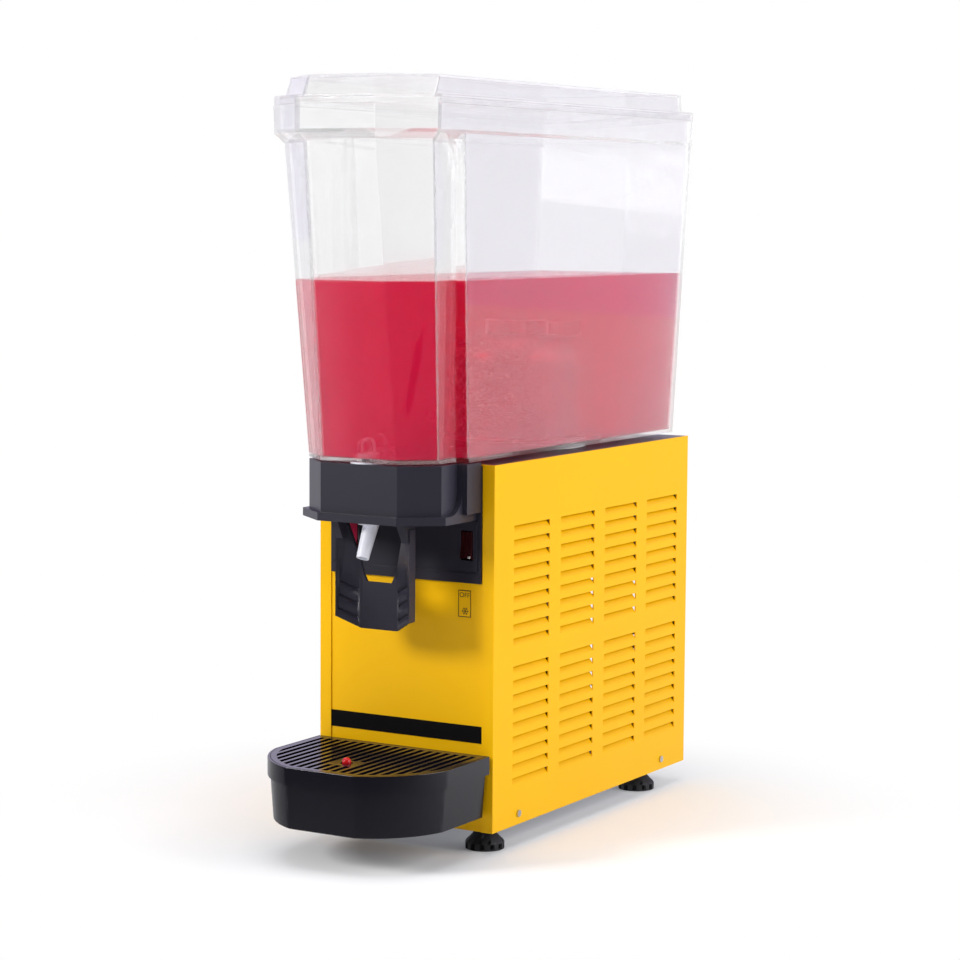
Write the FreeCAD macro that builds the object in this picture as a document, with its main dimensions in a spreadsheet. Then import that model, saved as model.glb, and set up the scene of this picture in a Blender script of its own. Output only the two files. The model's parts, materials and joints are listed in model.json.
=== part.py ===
import FreeCAD, Part
import os
from types import SimpleNamespace

import Sketcher
from FreeCAD import Placement, Rotation, Vector

# Cold drink dispenser with one clear bowl, a push lever tap and a drip tray.
# The front faces -Y. Below, y is 0 at the housing's front and z is 0 at its lower edge.
# The helpers move each piece from there to the origin, on the floor below the middle.

SIZES = {
    # Housing sheets
    "housing_width": 180.0,
    "housing_depth": 372.7,
    "housing_height": 321.6,
    "sheet": 1.2,
    "corner_flange": 11.4,
    "pan_flange": 16.0,
    # Pressed louvres in the side panels
    "louvre_columns": 4,
    "louvre_rows": 9,
    "louvre_front": 34.2,
    "louvre_length": 63.6,
    "louvre_column_pitch": 84.1,
    "louvre_top": 266.3,
    "louvre_pitch": 12.42,
    "louvre_opening": 6.2,
    "louvre_sink": 4.4,
    # Feet
    "foot_radius": 17.3,
    "foot_height": 19.5,
    "foot_shoulder": 5.0,
    "foot_neck_radius": 13.0,
    "foot_inset": 22.5,
    "foot_front": 25.5,
    "foot_rear": 315.0,
    "foot_stud_radius": 3.0,
    "foot_stud_length": 9.0,
    # Screws
    "screw_radius": 1.5,
    "screw_head_radius": 3.1,
    "screw_head_height": 1.6,
    "screw_length": 6.0,
    "side_screw_height": 10.0,
    "side_screw_front": 44.8,
    "side_screw_rear": 322.1,
    # Clearances
    "soft_gap": 0.3,
    "pin_gap": 0.05,
    "fit_gap": 0.4,
    # Strip and label on the front
    "strip_low": 78.1,
    "strip_height": 14.8,
    "strip_thickness": 0.6,
    "label_offset": 60.1,
    "label_width": 12.8,
    "label_low": 187.9,
    "label_height": 23.5,
    "label_thickness": 0.3,
    # Control plate
    "plate_inset": 12.6,
    "plate_low": 218.1,
    "plate_proud": 1.5,
    "plate_border": 3.0,
    "plate_border_low": 8.8,
    "plate_field_sink": 0.7,
    # Rocker switches
    "bezel_inset": 29.35,
    "bezel_width": 27.3,
    "bezel_low": 229.0,
    "bezel_height": 43.0,
    "bezel_thickness": 1.8,
    "switch_body_depth": 18.0,
    "switch_wall": 1.5,
    "right_rocker_inset": 25.9,
    "left_rocker_inset": 35.5,
    "rocker_width": 11.2,
    "rocker_half": 12.2,
    "rocker_centre": 251.0,
    "rocker_rise": 3.0,
    "rocker_lip": 1.2,
    "rocker_depth": 6.0,
    "rocker_pivot_depth": 3.0,
    "rocker_pin_radius": 1.2,
    # Cradle under the bowl's nose
    "cradle_top": 323.7,
    "cradle_wall": 2.5,
    "cradle_front_half": 38.8,
    "cradle_half": 67.5,
    "cradle_corner": 50.5,
    "cradle_front": 75.5,
    "cradle_step": 25.0,
    "cradle_rear_half": 77.5,
    "cradle_web": 20.0,
    "flange_low": 273.5,
    "flange_height": 7.0,
    "flange_front_half": 40.0,
    "flange_half": 73.0,
    "flange_corner": 52.5,
    "flange_front": 78.8,
    # Bowl
    "tank_floor": 325.5,
    "tank_wall": 3.0,
    "tank_shoulder": 603.0,
    "tank_slope": 8.0,
    "tank_top": 626.5,
    "tank_upstand": 4.5,
    "tank_upstand_wall": 2.0,
    "tank_half_low": 79.3,
    "tank_half_high": 83.4,
    "tank_step_low": 25.2,
    "tank_step_high": 41.1,
    "tank_rear_low": 359.7,
    "tank_rear_high": 383.3,
    "nose_half_low": 66.4,
    "nose_half_high": 75.6,
    "nose_corner_low": 52.2,
    "nose_corner_high": 77.0,
    "nose_front_low": 76.8,
    "nose_front_high": 107.0,
    "nose_front_half_low": 38.3,
    "nose_front_half_high": 35.5,
    "collar_flare": 1.0,
    "collar_rear": 385.5,
    "arch_radius": 38.0,
    # Lid
    "lid_half": 83.8,
    "lid_front_half": 39.6,
    "lid_corner": 80.2,
    "lid_front": 113.2,
    "lid_rear": 387.5,
    "lid_wall": 2.2,
    "lid_flange_top": 634.5,
    "lid_top": 651.0,
    "dome_half_low": 75.5,
    "dome_half_high": 75.3,
    "dome_front_half_low": 34.8,
    "dome_front_half_high": 33.1,
    "dome_corner_low": 76.2,
    "dome_corner_high": 67.6,
    "dome_front_low": 109.3,
    "dome_front_high": 102.9,
    "dome_rear_low": 379.0,
    "dome_rear_high": 377.0,
    # Chilled dome and stirrer in the bowl
    "cooler_centre": 190.0,
    "cooler_radius": 58.0,
    "cooler_height": 104.0,
    "cooler_round": 24.0,
    "cooler_wall": 2.0,
    "gasket_width": 5.0,
    "gasket_lip": 3.0,
    "gasket_lip_height": 2.5,
    "spindle_radius": 3.0,
    "spindle_height": 16.0,
    "impeller_radius": 32.0,
    "impeller_hub_radius": 10.0,
    "impeller_height": 12.0,
    "impeller_blade": 3.0,
    "impeller_blades": 6,
    "drive_radius": 28.0,
    "drive_height": 9.0,
    "drive_gap": 4.0,
    "stirrer_motor_radius": 30.0,
    "stirrer_motor_height": 46.0,
    "stirrer_bracket": 2.0,
    # Tap
    "tap_centre": 59.0,
    "spigot_radius": 11.0,
    "spigot_bore": 7.4,
    "spigot_length": 13.2,
    "seal_ring_radius": 1.0,
    "seal_ring_drop": 7.0,
    "socket_flange_radius": 16.0,
    "socket_flange_height": 4.0,
    "socket_wall": 2.4,
    "chute_wall": 2.0,
    "nozzle_lean": 13.2,
    "nozzle_run": 27.6,
    "nozzle_top_reach": 55.8,
    "nozzle_top_drop": 1.0,
    "nozzle_end_radius": 5.5,
    "nozzle_top_radius": 7.0,
    "nozzle_wall": 1.6,
    "plunger_stem_radius": 3.0,
    "plunger_head_radius": 9.5,
    "plunger_head_height": 2.5,
    "plunger_seal_height": 1.2,
    "plunger_loop_radius": 6.2,
    "plunger_loop_rod": 1.3,
    "plunger_loop_height": 17.5,
    # Push lever and its pivot
    "pivot_reach": 68.0,
    "pivot_height": 292.0,
    "pivot_pin_radius": 2.0,
    "lug_start": 38.3,
    "lug_width": 4.0,
    "lug_half": 4.5,
    "lever_half": 38.0,
    "lever_facet_half": 18.5,
    "lever_facet_reach": 43.0,
    "lever_wing_reach": 54.0,
    "lever_side_back": 44.5,
    "lever_wall": 3.0,
    "lever_side_wall": 2.5,
    "lever_low": 177.5,
    "lever_wing_low": 188.0,
    "lever_high": 268.0,
    "window_low": 218.7,
    "window_low_half": 12.7,
    "window_shoulder": 225.0,
    "window_shoulder_half": 15.8,
    "window_high_half": 28.5,
    "arm_inner": 30.0,
    "arm_outer": 37.0,
    "arm_low": 256.0,
    "arm_bend_height": 284.0,
    "arm_back": 42.5,
    "arm_eye": 4.3,
    "crossbar_depth": 3.0,
    "crossbar_height": 8.0,
    "tongue_half": 4.0,
    "tongue_height": 2.8,
    "tongue_overlap": 2.5,
    "lever_spring_radius": 4.2,
    "lever_spring_length": 6.0,
    # Drip tray
    "tray_side_gap": 1.0,
    "tray_front": 136.0,
    "tray_front_half": 33.0,
    "tray_corner_end": 72.0,
    "tray_corner_radius": 89.0,
    "tray_back": 3.5,
    "tray_low": 15.0,
    "tray_band_low": 53.0,
    "tray_top": 69.0,
    "tray_inset": 2.6,
    "tray_draft": 2.7,
    "tray_floor": 2.5,
    "tray_rim": 2.5,
    "tray_ledge": 3.0,
    "tray_hook_offset": 40.0,
    "tray_hook_half": 6.0,
    "tray_hook_low": 44.0,
    "tray_hook_height": 6.0,
    "tray_hook_length": 6.0,
    # Drip grid and level float
    "grid_height": 5.0,
    "grid_pitch": 8.75,
    "grid_slot": 5.4,
    "grid_slots_aside": 9,
    "grid_border": 5.5,
    "grid_slot_back": 11.0,
    "float_reach": 93.0,
    "float_hole_radius": 5.5,
    "float_button_radius": 4.0,
    "float_stem_radius": 3.2,
    "float_disc_radius": 12.0,
    "float_disc_height": 12.0,
    "float_proud": 5.0,
    # Cooling machinery in the housing
    "condenser_half": 62.0,
    "condenser_front": 22.0,
    "condenser_depth": 34.0,
    "condenser_height": 150.0,
    "shroud_thickness": 2.0,
    "fan_radius": 52.0,
    "fan_centre": 90.0,
    "fan_hub_radius": 14.0,
    "fan_hub_depth": 14.0,
    "fan_blades": 5,
    "fan_blade_width": 22.0,
    "fan_blade_thickness": 2.0,
    "fan_gap": 3.0,
    "fan_motor_radius": 24.0,
    "fan_motor_depth": 34.0,
    "fan_shaft_radius": 2.5,
    "fan_bracket_width": 14.0,
    "compressor_centre": 262.0,
    "compressor_offset": 18.0,
    "compressor_radius": 54.0,
    "compressor_height": 118.0,
    "compressor_round": 30.0,
    "compressor_plate": 3.0,
    "compressor_plate_half": 50.0,
    "grommet_radius": 8.0,
    "grommet_height": 10.0,
    "grommet_offset": 40.0,
    "drier_radius": 9.0,
    "drier_height": 80.0,
    "drier_low": 60.0,
    "drier_offset": 70.0,
    "drier_centre": 178.0,
    "pipe_radius": 3.0,
    # Rear panel fittings
    "vent_count": 9,
    "vent_low": 60.0,
    "vent_pitch": 14.0,
    "vent_half": 55.0,
    "vent_height": 5.0,
    "gland_offset": 60.0,
    "gland_height": 34.0,
    "gland_radius": 8.0,
    "gland_rim_radius": 11.0,
    "gland_rim_depth": 3.0,
    "gland_length": 12.0,
    "gland_bore": 4.0,
    "thermostat_offset": 50.0,
    "thermostat_height": 250.0,
    "thermostat_half": 17.0,
    "thermostat_depth": 24.0,
    "thermostat_shaft_radius": 3.0,
    "knob_radius": 13.0,
    "knob_depth": 12.0,
    "rear_screw_inset": 6.0,
    "rear_screw_low": 24.0,
    "rear_screw_rise": 272.0,
    "cradle_screw_inset": 24.0,
    "cradle_screw_height": 300.0,
}


class Size:
    """An expression on the sheet's cells that can be added, scaled and turned round."""

    def __init__(self, text):
        self.text = text

    def __str__(self):
        return self.text

    def __add__(self, other):
        return Size(f"({self} + {other})")

    def __radd__(self, other):
        return Size(f"({other} + {self})")

    def __sub__(self, other):
        return Size(f"({self} - {other})")

    def __rsub__(self, other):
        return Size(f"({other} - {self})")

    def __mul__(self, other):
        return Size(f"({self} * {other})")

    def __rmul__(self, other):
        return Size(f"({other} * {self})")

    def __truediv__(self, other):
        return Size(f"({self} / {other})")

    def __neg__(self):
        return Size(f"(-1 * {self})")


doc = FreeCAD.newDocument("ColdDrinkDispenser")
sheet = doc.addObject("Spreadsheet::Sheet", "Sizes")
for row, (alias, value) in enumerate(SIZES.items(), start=1):
    sheet.set(f"A{row}", alias)
    sheet.set(f"B{row}", str(value))
    sheet.setAlias(f"B{row}", alias)
doc.recompute()
s = SimpleNamespace(**{alias: Size(f"Sizes.{alias}") for alias in SIZES})
ZERO = Size("0")
nodes = []

# The floor is a foot's height below the housing, and the origin lies midway
# between the drip tray's front and the lid's rear edge.
front_y = (s.tray_front - s.lid_rear) / 2
floor_z = s.foot_height


def number(size):
    """The value of an expression, in millimetres."""
    return float(sheet.evalExpression(str(size)))


def bind(feature, name, size):
    """Ties one property of a feature to the sheet."""
    feature.setExpression(name, str(size))


def place(feature, x, y, z):
    """Puts a feature at a point given from the housing's front lower edge."""
    bind(feature, "Placement.Base.x", x)
    bind(feature, "Placement.Base.y", front_y + y)
    bind(feature, "Placement.Base.z", floor_z + z)


def node(name, feature):
    """Names a finished piece and keeps it for the parts folder."""
    feature.Label = name
    nodes.append(feature)
    return feature


def box(x, y, z):
    """A block from three pairs of limits."""
    feature = doc.addObject("Part::Box", "Block")
    bind(feature, "Length", Size(f"({x[1]} - {x[0]})"))
    bind(feature, "Width", Size(f"({y[1]} - {y[0]})"))
    bind(feature, "Height", Size(f"({z[1]} - {z[0]})"))
    place(feature, x[0], y[0], z[0])
    return feature


TURNS = {
    "X": Rotation(Vector(0, 1, 0), 90),
    "Y": Rotation(Vector(1, 0, 0), -90),
    "Z": Rotation(),
}


def along_axis(axis, centre, start):
    """The three coordinates of a point on a line parallel to an axis."""
    across = list(centre)
    across.insert("XYZ".index(axis), start)
    return across


def rod(axis, centre, radius, limits):
    """A cylinder along an axis, from the first limit to the second."""
    feature = doc.addObject("Part::Cylinder", "Rod")
    feature.Placement = Placement(Vector(), TURNS[axis])
    bind(feature, "Radius", radius)
    bind(feature, "Height", Size(f"({limits[1]} - {limits[0]})"))
    place(feature, *along_axis(axis, centre, limits[0]))
    return feature


def cone(axis, centre, radii, limits):
    """A cone along an axis, with its two radii at the two limits."""
    feature = doc.addObject("Part::Cone", "Taper")
    feature.Placement = Placement(Vector(), TURNS[axis])
    bind(feature, "Radius1", radii[0])
    bind(feature, "Radius2", radii[1])
    bind(feature, "Height", Size(f"({limits[1]} - {limits[0]})"))
    place(feature, *along_axis(axis, centre, limits[0]))
    return feature


def ball(centre, radius):
    """A full ball."""
    feature = doc.addObject("Part::Sphere", "Ball")
    bind(feature, "Radius", radius)
    place(feature, *centre)
    return feature


def ring(axis, centre, radius, thickness):
    """A round ring about an axis, with a round section."""
    feature = doc.addObject("Part::Torus", "Ring")
    feature.Placement = Placement(Vector(), TURNS[axis])
    bind(feature, "Radius1", radius)
    bind(feature, "Radius2", thickness)
    place(feature, *centre)
    return feature


def fuse(*pieces):
    """Joins touching pieces, or gathers separate ones."""
    feature = doc.addObject("Part::MultiFuse", "Joined")
    feature.Shapes = list(pieces)
    return feature


def cut(base, *tools):
    """Takes the tools away from the base."""
    feature = doc.addObject("Part::Cut", "Trimmed")
    feature.Base = base
    feature.Tool = tools[0] if len(tools) == 1 else fuse(*tools)
    return feature


def common(first, second):
    """Keeps what two pieces share."""
    feature = doc.addObject("Part::Common", "Shared")
    feature.Base = first
    feature.Tool = second
    return feature


def arc_between(start, end, radius):
    """An arc that runs anticlockwise from start to end and bulges outwards."""
    chord = end - start
    middle = (start + end) * 0.5
    rise = (radius ** 2 - chord.Length ** 2 / 4) ** 0.5
    inward = Vector(-chord.y, chord.x, 0).normalize()
    centre = middle + inward * rise
    circle = Part.Circle(centre, Vector(0, 0, 1), radius)
    return Part.ArcOfCircle(circle, circle.parameter(start), circle.parameter(end))


def draw(body, plane, level, points, arcs=None):
    """A closed outline on one of a body's origin planes, tied to the sheet."""
    arcs = arcs or {}
    sketch = body.newObject("Sketcher::SketchObject", "Outline")
    support = [item for item in body.Origin.OriginFeatures if item.Role == f"{plane}_Plane"][0]
    sketch.AttachmentSupport = (support, [""])
    sketch.MapMode = "FlatFace"
    if plane == "XY":
        sketch_points = [(x, front_y + y) for x, y in points]
        offset = floor_z + level
    elif plane == "XZ":
        sketch_points = [(x, floor_z + z) for x, z in points]
        offset = -(front_y + level)
    else:
        sketch_points = [(front_y + y, floor_z + z) for y, z in points]
        offset = level
    bind(sketch, "AttachmentOffset.Base.z", offset)
    corners = [Vector(number(u), number(v), 0) for u, v in sketch_points]
    count = len(corners)
    edges = []
    constraints = []
    tied_sizes = []
    for index, corner in enumerate(corners):
        following = corners[(index + 1) % count]
        if index in arcs:
            edges.append(arc_between(corner, following, number(arcs[index])))
        else:
            edges.append(Part.LineSegment(corner, following))
    for index, (u, v) in enumerate(sketch_points):
        constraints.append(Sketcher.Constraint("DistanceX", index, 1, corners[index].x))
        constraints.append(Sketcher.Constraint("DistanceY", index, 1, corners[index].y))
        tied_sizes += [u, v]
    for index, radius in arcs.items():
        constraints.append(Sketcher.Constraint("Radius", index, number(radius)))
        tied_sizes.append(radius)
    for index in range(count):
        constraints.append(Sketcher.Constraint("Coincident", index, 2, (index + 1) % count, 1))
    sketch.addGeometry(edges, False)
    sketch.addConstraint(constraints)
    for index, size in enumerate(tied_sizes):
        bind(sketch, f"Constraints[{index}]", size)
    return sketch


def pad(plane, limits, points, arcs=None):
    """A body with one outline, padded from the first limit to the second."""
    body = doc.addObject("PartDesign::Body", "Padded")
    feature = body.newObject("PartDesign::Pad", "Pad")
    feature.Profile = draw(body, plane, limits[0], points, arcs)
    bind(feature, "Length", Size(f"({limits[1]} - {limits[0]})"))
    feature.Reversed = plane == "XZ"
    body.Tip = feature
    return body


def loft(low, low_points, high, high_points, arcs=None, high_arcs=None):
    """A body between two level outlines with straight sides."""
    body = doc.addObject("PartDesign::Body", "Lofted")
    feature = body.newObject("PartDesign::AdditiveLoft", "Loft")
    feature.Profile = draw(body, "XY", low, low_points, arcs)
    feature.Sections = [draw(body, "XY", high, high_points, high_arcs or arcs)]
    feature.Ruled = True
    body.Tip = feature
    return body


def both_sides(size):
    """Limits at equal distances on both sides of the middle."""
    return (-size, size)


def mirrored(right_side):
    """The full outline from the right half, which runs from front to back."""
    return right_side + [(-x, y) for x, y in reversed(right_side)]


def nose_outline(front_half, front, side, corner, rear, inset=0):
    """The plan with slanted front corners that the bowl, lid and cradle share."""
    return mirrored([
        (front_half - inset / 2, inset - front),
        (side - inset, inset / 2 - corner),
        (side - inset, rear - inset),
    ])


half_width = s.housing_width / 2
foot_offset = half_width - s.foot_inset
plate_half = half_width - s.plate_inset
bezel_offset = half_width - s.bezel_inset
tray_half = half_width - s.tray_side_gap
rear_screw_offset = half_width - s.rear_screw_inset
cradle_screw_offset = half_width - s.cradle_screw_inset
inner_half = half_width - s.sheet
rear_y = s.housing_depth
deck_top = s.housing_height
pan_top = s.sheet
panel_back = 2 * s.sheet
rear_panel_front = rear_y - 2 * s.sheet


def screw(axis, sign, centre, face):
    """A pan head screw whose head bears on a face and whose shank runs inwards."""
    if sign > 0:
        head = rod(axis, centre, s.screw_head_radius, (face, face + s.screw_head_height))
        shank = rod(axis, centre, s.screw_radius, (face - s.screw_length, face))
    else:
        head = rod(axis, centre, s.screw_head_radius, (face - s.screw_head_height, face))
        shank = rod(axis, centre, s.screw_radius, (face, face + s.screw_length))
    return fuse(head, shank)


# Base pan with turned up sides, which the side panels are screwed to
side_screw_places = [(s.side_screw_front, s.side_screw_height), (s.side_screw_rear, s.side_screw_height)]
foot_places = {
    "front_left_foot": (-foot_offset, s.foot_front),
    "front_right_foot": (foot_offset, s.foot_front),
    "rear_left_foot": (-foot_offset, s.foot_rear),
    "rear_right_foot": (foot_offset, s.foot_rear),
}


def make_base_pan():
    inner = (panel_back, rear_panel_front)
    plate = box(both_sides(inner_half), inner, (ZERO, pan_top))
    walls = [
        box((inner_half - s.sheet, inner_half), inner, (pan_top, s.pan_flange)),
        box((-inner_half, s.sheet - inner_half), inner, (pan_top, s.pan_flange)),
    ]
    holes = [
        rod("Z", place_xy, s.foot_stud_radius + s.pin_gap, (-s.sheet, 2 * s.sheet))
        for place_xy in foot_places.values()
    ]
    screws = [
        rod("X", centre, s.screw_radius, both_sides(half_width)) for centre in side_screw_places
    ]
    node("base_pan", cut(fuse(plate, *walls), *holes, *screws))


def louvre_rows():
    """The top edges of the louvres: two blocks of rows with one row left out between."""
    block = int(number(s.louvre_rows))
    rows = list(range(block)) + list(range(block + 1, 2 * block + 1))
    return [s.louvre_top - s.louvre_pitch * row for row in rows]


def louvre_columns():
    """The front ends of the louvres."""
    return [s.louvre_front + s.louvre_column_pitch * k for k in range(int(number(s.louvre_columns)))]


def louvre_row(side, top):
    """The lips of one row, pressed inwards from their lower edges, as one long strip."""
    outer = side * half_width
    inner = side * (half_width - s.sheet)
    sink = side * (half_width - s.louvre_sink)
    sink_back = side * (half_width - s.louvre_sink - s.sheet)
    low = top - s.louvre_opening
    points = [(outer, low), (sink, top), (sink_back, top), (inner, low)]
    if side < 0:
        points.reverse()
    return pad("XZ", (ZERO, rear_y), points)


def make_side_panel(name, side):
    """A panel that folds round the front and rear corners, with its pressed louvres."""
    outer = side * half_width
    inner = side * inner_half
    fold = side * (half_width - s.corner_flange)
    height = (ZERO, s.housing_height)
    span = (inner, outer) if side > 0 else (outer, inner)
    turned = (fold, inner) if side > 0 else (inner, fold)
    sheets = fuse(
        box(span, (ZERO, rear_y), height),
        box(turned, (ZERO, s.sheet), height),
        box(turned, (rear_y - s.sheet, rear_y), height),
    )
    depth = (half_width - s.louvre_sink - 2 * s.sheet, half_width)
    reach = depth if side > 0 else (-half_width, -depth[0])
    columns = [
        box(reach, (start, start + s.louvre_length), height) for start in louvre_columns()
    ]
    rows = [
        box(span, (ZERO, rear_y), (top - s.louvre_opening, top)) for top in louvre_rows()
    ]
    lips = [louvre_row(side, top) for top in louvre_rows()]
    slits = common(fuse(*rows), fuse(*columns))
    screws = [rod("X", centre, s.screw_radius, span) for centre in side_screw_places]
    screws += [
        rod("Y", centre, s.screw_radius, (rear_y - s.sheet, rear_y)) for centre in rear_screw_places
    ]
    node(name, fuse(cut(sheets, slits, *screws), common(fuse(*lips), fuse(*columns))))


def hook_slot(offset):
    """The slot in the front panel that takes one hook of the drip tray."""
    gap = s.fit_gap
    return box(
        (offset - s.tray_hook_half - gap, offset + s.tray_hook_half + gap),
        (ZERO, 3 * s.sheet),
        (s.tray_hook_low - gap, s.tray_hook_low + s.tray_hook_height + gap),
    )


rocker_pocket_half = s.rocker_half + 2 * s.fit_gap
switch_half_width = s.rocker_width / 2 + s.fit_gap + s.switch_wall
switch_half_height = rocker_pocket_half + s.switch_wall
rocker_offsets = {
    "left": s.left_rocker_inset - half_width,
    "right": half_width - s.right_rocker_inset,
}
cradle_screw_places = [
    (-cradle_screw_offset, s.cradle_screw_height),
    (cradle_screw_offset, s.cradle_screw_height),
]


def switch_hole(offset):
    """The hole that a switch body passes, in the control plate and the front panel."""
    return box(
        (offset - switch_half_width, offset + switch_half_width),
        (-s.plate_proud, 3 * s.sheet),
        (s.rocker_centre - switch_half_height, s.rocker_centre + switch_half_height),
    )


def make_front_panel():
    height = (ZERO, s.housing_height)
    holes = [hook_slot(side * s.tray_hook_offset) for side in (-1, 1)]
    holes += [switch_hole(offset) for offset in rocker_offsets.values()]
    holes += [
        rod("Y", centre, s.screw_radius, (ZERO, 3 * s.sheet)) for centre in cradle_screw_places
    ]
    node("front_panel", cut(box(both_sides(inner_half), (s.sheet, panel_back), height), *holes))


rear_screw_places = [
    (side * rear_screw_offset, s.rear_screw_low + rise)
    for side in (-1, 1)
    for rise in (ZERO, s.rear_screw_rise)
]


def make_rear_panel():
    """The rear sheet, with vents and the holes for the cord gland and the thermostat."""
    through = (rear_panel_front - s.sheet, rear_y)
    holes = [
        box(both_sides(s.vent_half), through, (low, low + s.vent_height))
        for low in [s.vent_low + s.vent_pitch * k for k in range(int(number(s.vent_count)))]
    ]
    holes.append(rod("Y", (-s.gland_offset, s.gland_height), s.gland_radius, through))
    holes.append(
        rod("Y", (s.thermostat_offset, s.thermostat_height),
            s.thermostat_shaft_radius + s.fit_gap, through)
    )
    holes += [rod("Y", centre, s.screw_radius, through) for centre in rear_screw_places]
    sheet_box = box(
        both_sides(inner_half), (rear_panel_front, rear_y - s.sheet), (ZERO, s.housing_height)
    )
    node("rear_panel", cut(sheet_box, *holes))


def make_deck():
    plate = box(
        both_sides(inner_half), (panel_back, rear_panel_front), (deck_top - s.sheet, deck_top)
    )
    hole = rod(
        "Z", (ZERO, s.cooler_centre), s.cooler_radius - s.cooler_wall - s.fit_gap,
        (deck_top - 2 * s.sheet, deck_top + s.sheet),
    )
    node("deck", cut(plate, hole))


def make_screws():
    side_screws = []
    for centre in side_screw_places:
        side_screws.append(screw("X", 1, centre, half_width))
        side_screws.append(screw("X", -1, centre, -half_width))
    node("side_screws", fuse(*side_screws))
    node("rear_panel_screws", fuse(*[screw("Y", 1, c, rear_y) for c in rear_screw_places]))
    back_screws = [screw("Y", 1, centre, panel_back) for centre in cradle_screw_places]
    node("cradle_screws", fuse(*back_screws))


def make_feet():
    """Round feet with a tapered shoulder and a stud that turns in the pan."""
    for name, centre in foot_places.items():
        top = -s.soft_gap
        shoulder = top - s.foot_shoulder
        node(name, fuse(
            rod("Z", centre, s.foot_radius, (-s.foot_height, shoulder)),
            cone("Z", centre, (s.foot_radius, s.foot_neck_radius), (shoulder, top)),
            rod("Z", centre, s.foot_stud_radius, (top, top + s.foot_stud_length)),
        ))


# Front trim
plate_face = -s.plate_proud
plate_back = s.sheet


def make_front_trim():
    strip_half = half_width - s.corner_flange
    node("name_strip", box(
        both_sides(strip_half), (s.sheet - s.strip_thickness, s.sheet),
        (s.strip_low, s.strip_low + s.strip_height),
    ))
    node("switch_label", box(
        (s.label_offset - s.label_width / 2, s.label_offset + s.label_width / 2),
        (s.sheet - s.label_thickness, s.sheet),
        (s.label_low, s.label_low + s.label_height),
    ))


def make_control_plate():
    """A black plate with a raised border, behind the cradle and the switches."""
    plate_high = s.housing_height - s.sheet
    plate = box(both_sides(plate_half), (plate_face, plate_back), (s.plate_low, plate_high))
    field_half = plate_half - s.plate_border
    field = box(
        both_sides(field_half), (plate_face - s.sheet, plate_face + s.plate_field_sink),
        (s.plate_low + s.plate_border_low, s.flange_low),
    )
    holes = [switch_hole(offset) for offset in rocker_offsets.values()]
    holes += [
        rod("Y", centre, s.screw_radius, (plate_face, plate_back)) for centre in cradle_screw_places
    ]
    node("control_plate", cut(plate, field, *holes))


bezel_back = plate_face + s.plate_field_sink
bezel_face = bezel_back - s.bezel_thickness
rocker_pivot_y = bezel_face + s.rocker_pivot_depth


def make_switch(side_name, side):
    """A bezel with its body behind the panel, and the rocker that tilts in it."""
    offset = rocker_offsets[side_name]
    bezel_centre = side * bezel_offset
    front = box(
        (bezel_centre - s.bezel_width / 2, bezel_centre + s.bezel_width / 2),
        (bezel_face, bezel_back),
        (s.bezel_low, s.bezel_low + s.bezel_height),
    )
    body_back = bezel_back + s.switch_body_depth
    body_z = (s.rocker_centre - switch_half_height, s.rocker_centre + switch_half_height)
    body = box((offset - switch_half_width, offset + switch_half_width), (bezel_back, body_back), body_z)
    pocket_half = s.rocker_width / 2 + s.fit_gap
    pocket = box(
        (offset - pocket_half, offset + pocket_half),
        (bezel_face, body_back - s.switch_wall),
        (s.rocker_centre - rocker_pocket_half, s.rocker_centre + rocker_pocket_half),
    )
    pin_hole = rod(
        "X", (rocker_pivot_y, s.rocker_centre), s.rocker_pin_radius + s.pin_gap,
        (offset - switch_half_width, offset + switch_half_width),
    )
    node(f"{side_name}_switch_bezel", cut(fuse(front, body), pocket, pin_hole))
    low = s.rocker_centre - s.rocker_half
    high = s.rocker_centre + s.rocker_half
    face = bezel_face - s.soft_gap
    back = rocker_pivot_y + s.rocker_depth
    profile = [
        (face - s.rocker_rise, low + s.rocker_lip),
        (rocker_pivot_y, low),
        (back, s.rocker_centre),
        (rocker_pivot_y, high),
        (face, high),
        (face, s.rocker_centre),
    ]
    rocker = pad("YZ", (offset - s.rocker_width / 2, offset + s.rocker_width / 2), profile)
    pin = rod(
        "X", (rocker_pivot_y, s.rocker_centre), s.rocker_pin_radius,
        (offset - switch_half_width, offset + switch_half_width),
    )
    node(f"{side_name}_rocker", fuse(rocker, pin))


# Cradle
flange_top = s.flange_low + s.flange_height


def cradle_plan(inset):
    """The cradle's plan above its flange: a nose, and a wider rear part behind a step."""
    back = plate_face
    return mirrored([
        (s.cradle_front_half - inset / 2, inset - s.cradle_front),
        (s.cradle_half - inset, inset / 2 - s.cradle_corner),
        (s.cradle_half - inset, inset - s.cradle_step),
        (s.cradle_rear_half - inset, inset - s.cradle_step),
        (s.cradle_rear_half - inset, back),
    ])


def cradle_web(side):
    """The hollow rounding between the flange and the step on one side."""
    near = side * s.cradle_half
    far = side * s.flange_half
    span = (near, far) if side > 0 else (far, near)
    step = -s.cradle_step
    block = box(span, (step - s.cradle_web, step), (flange_top, flange_top + s.cradle_web))
    round_off = rod("X", (step - s.cradle_web, flange_top + s.cradle_web), s.cradle_web, span)
    return cut(block, round_off)


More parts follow.
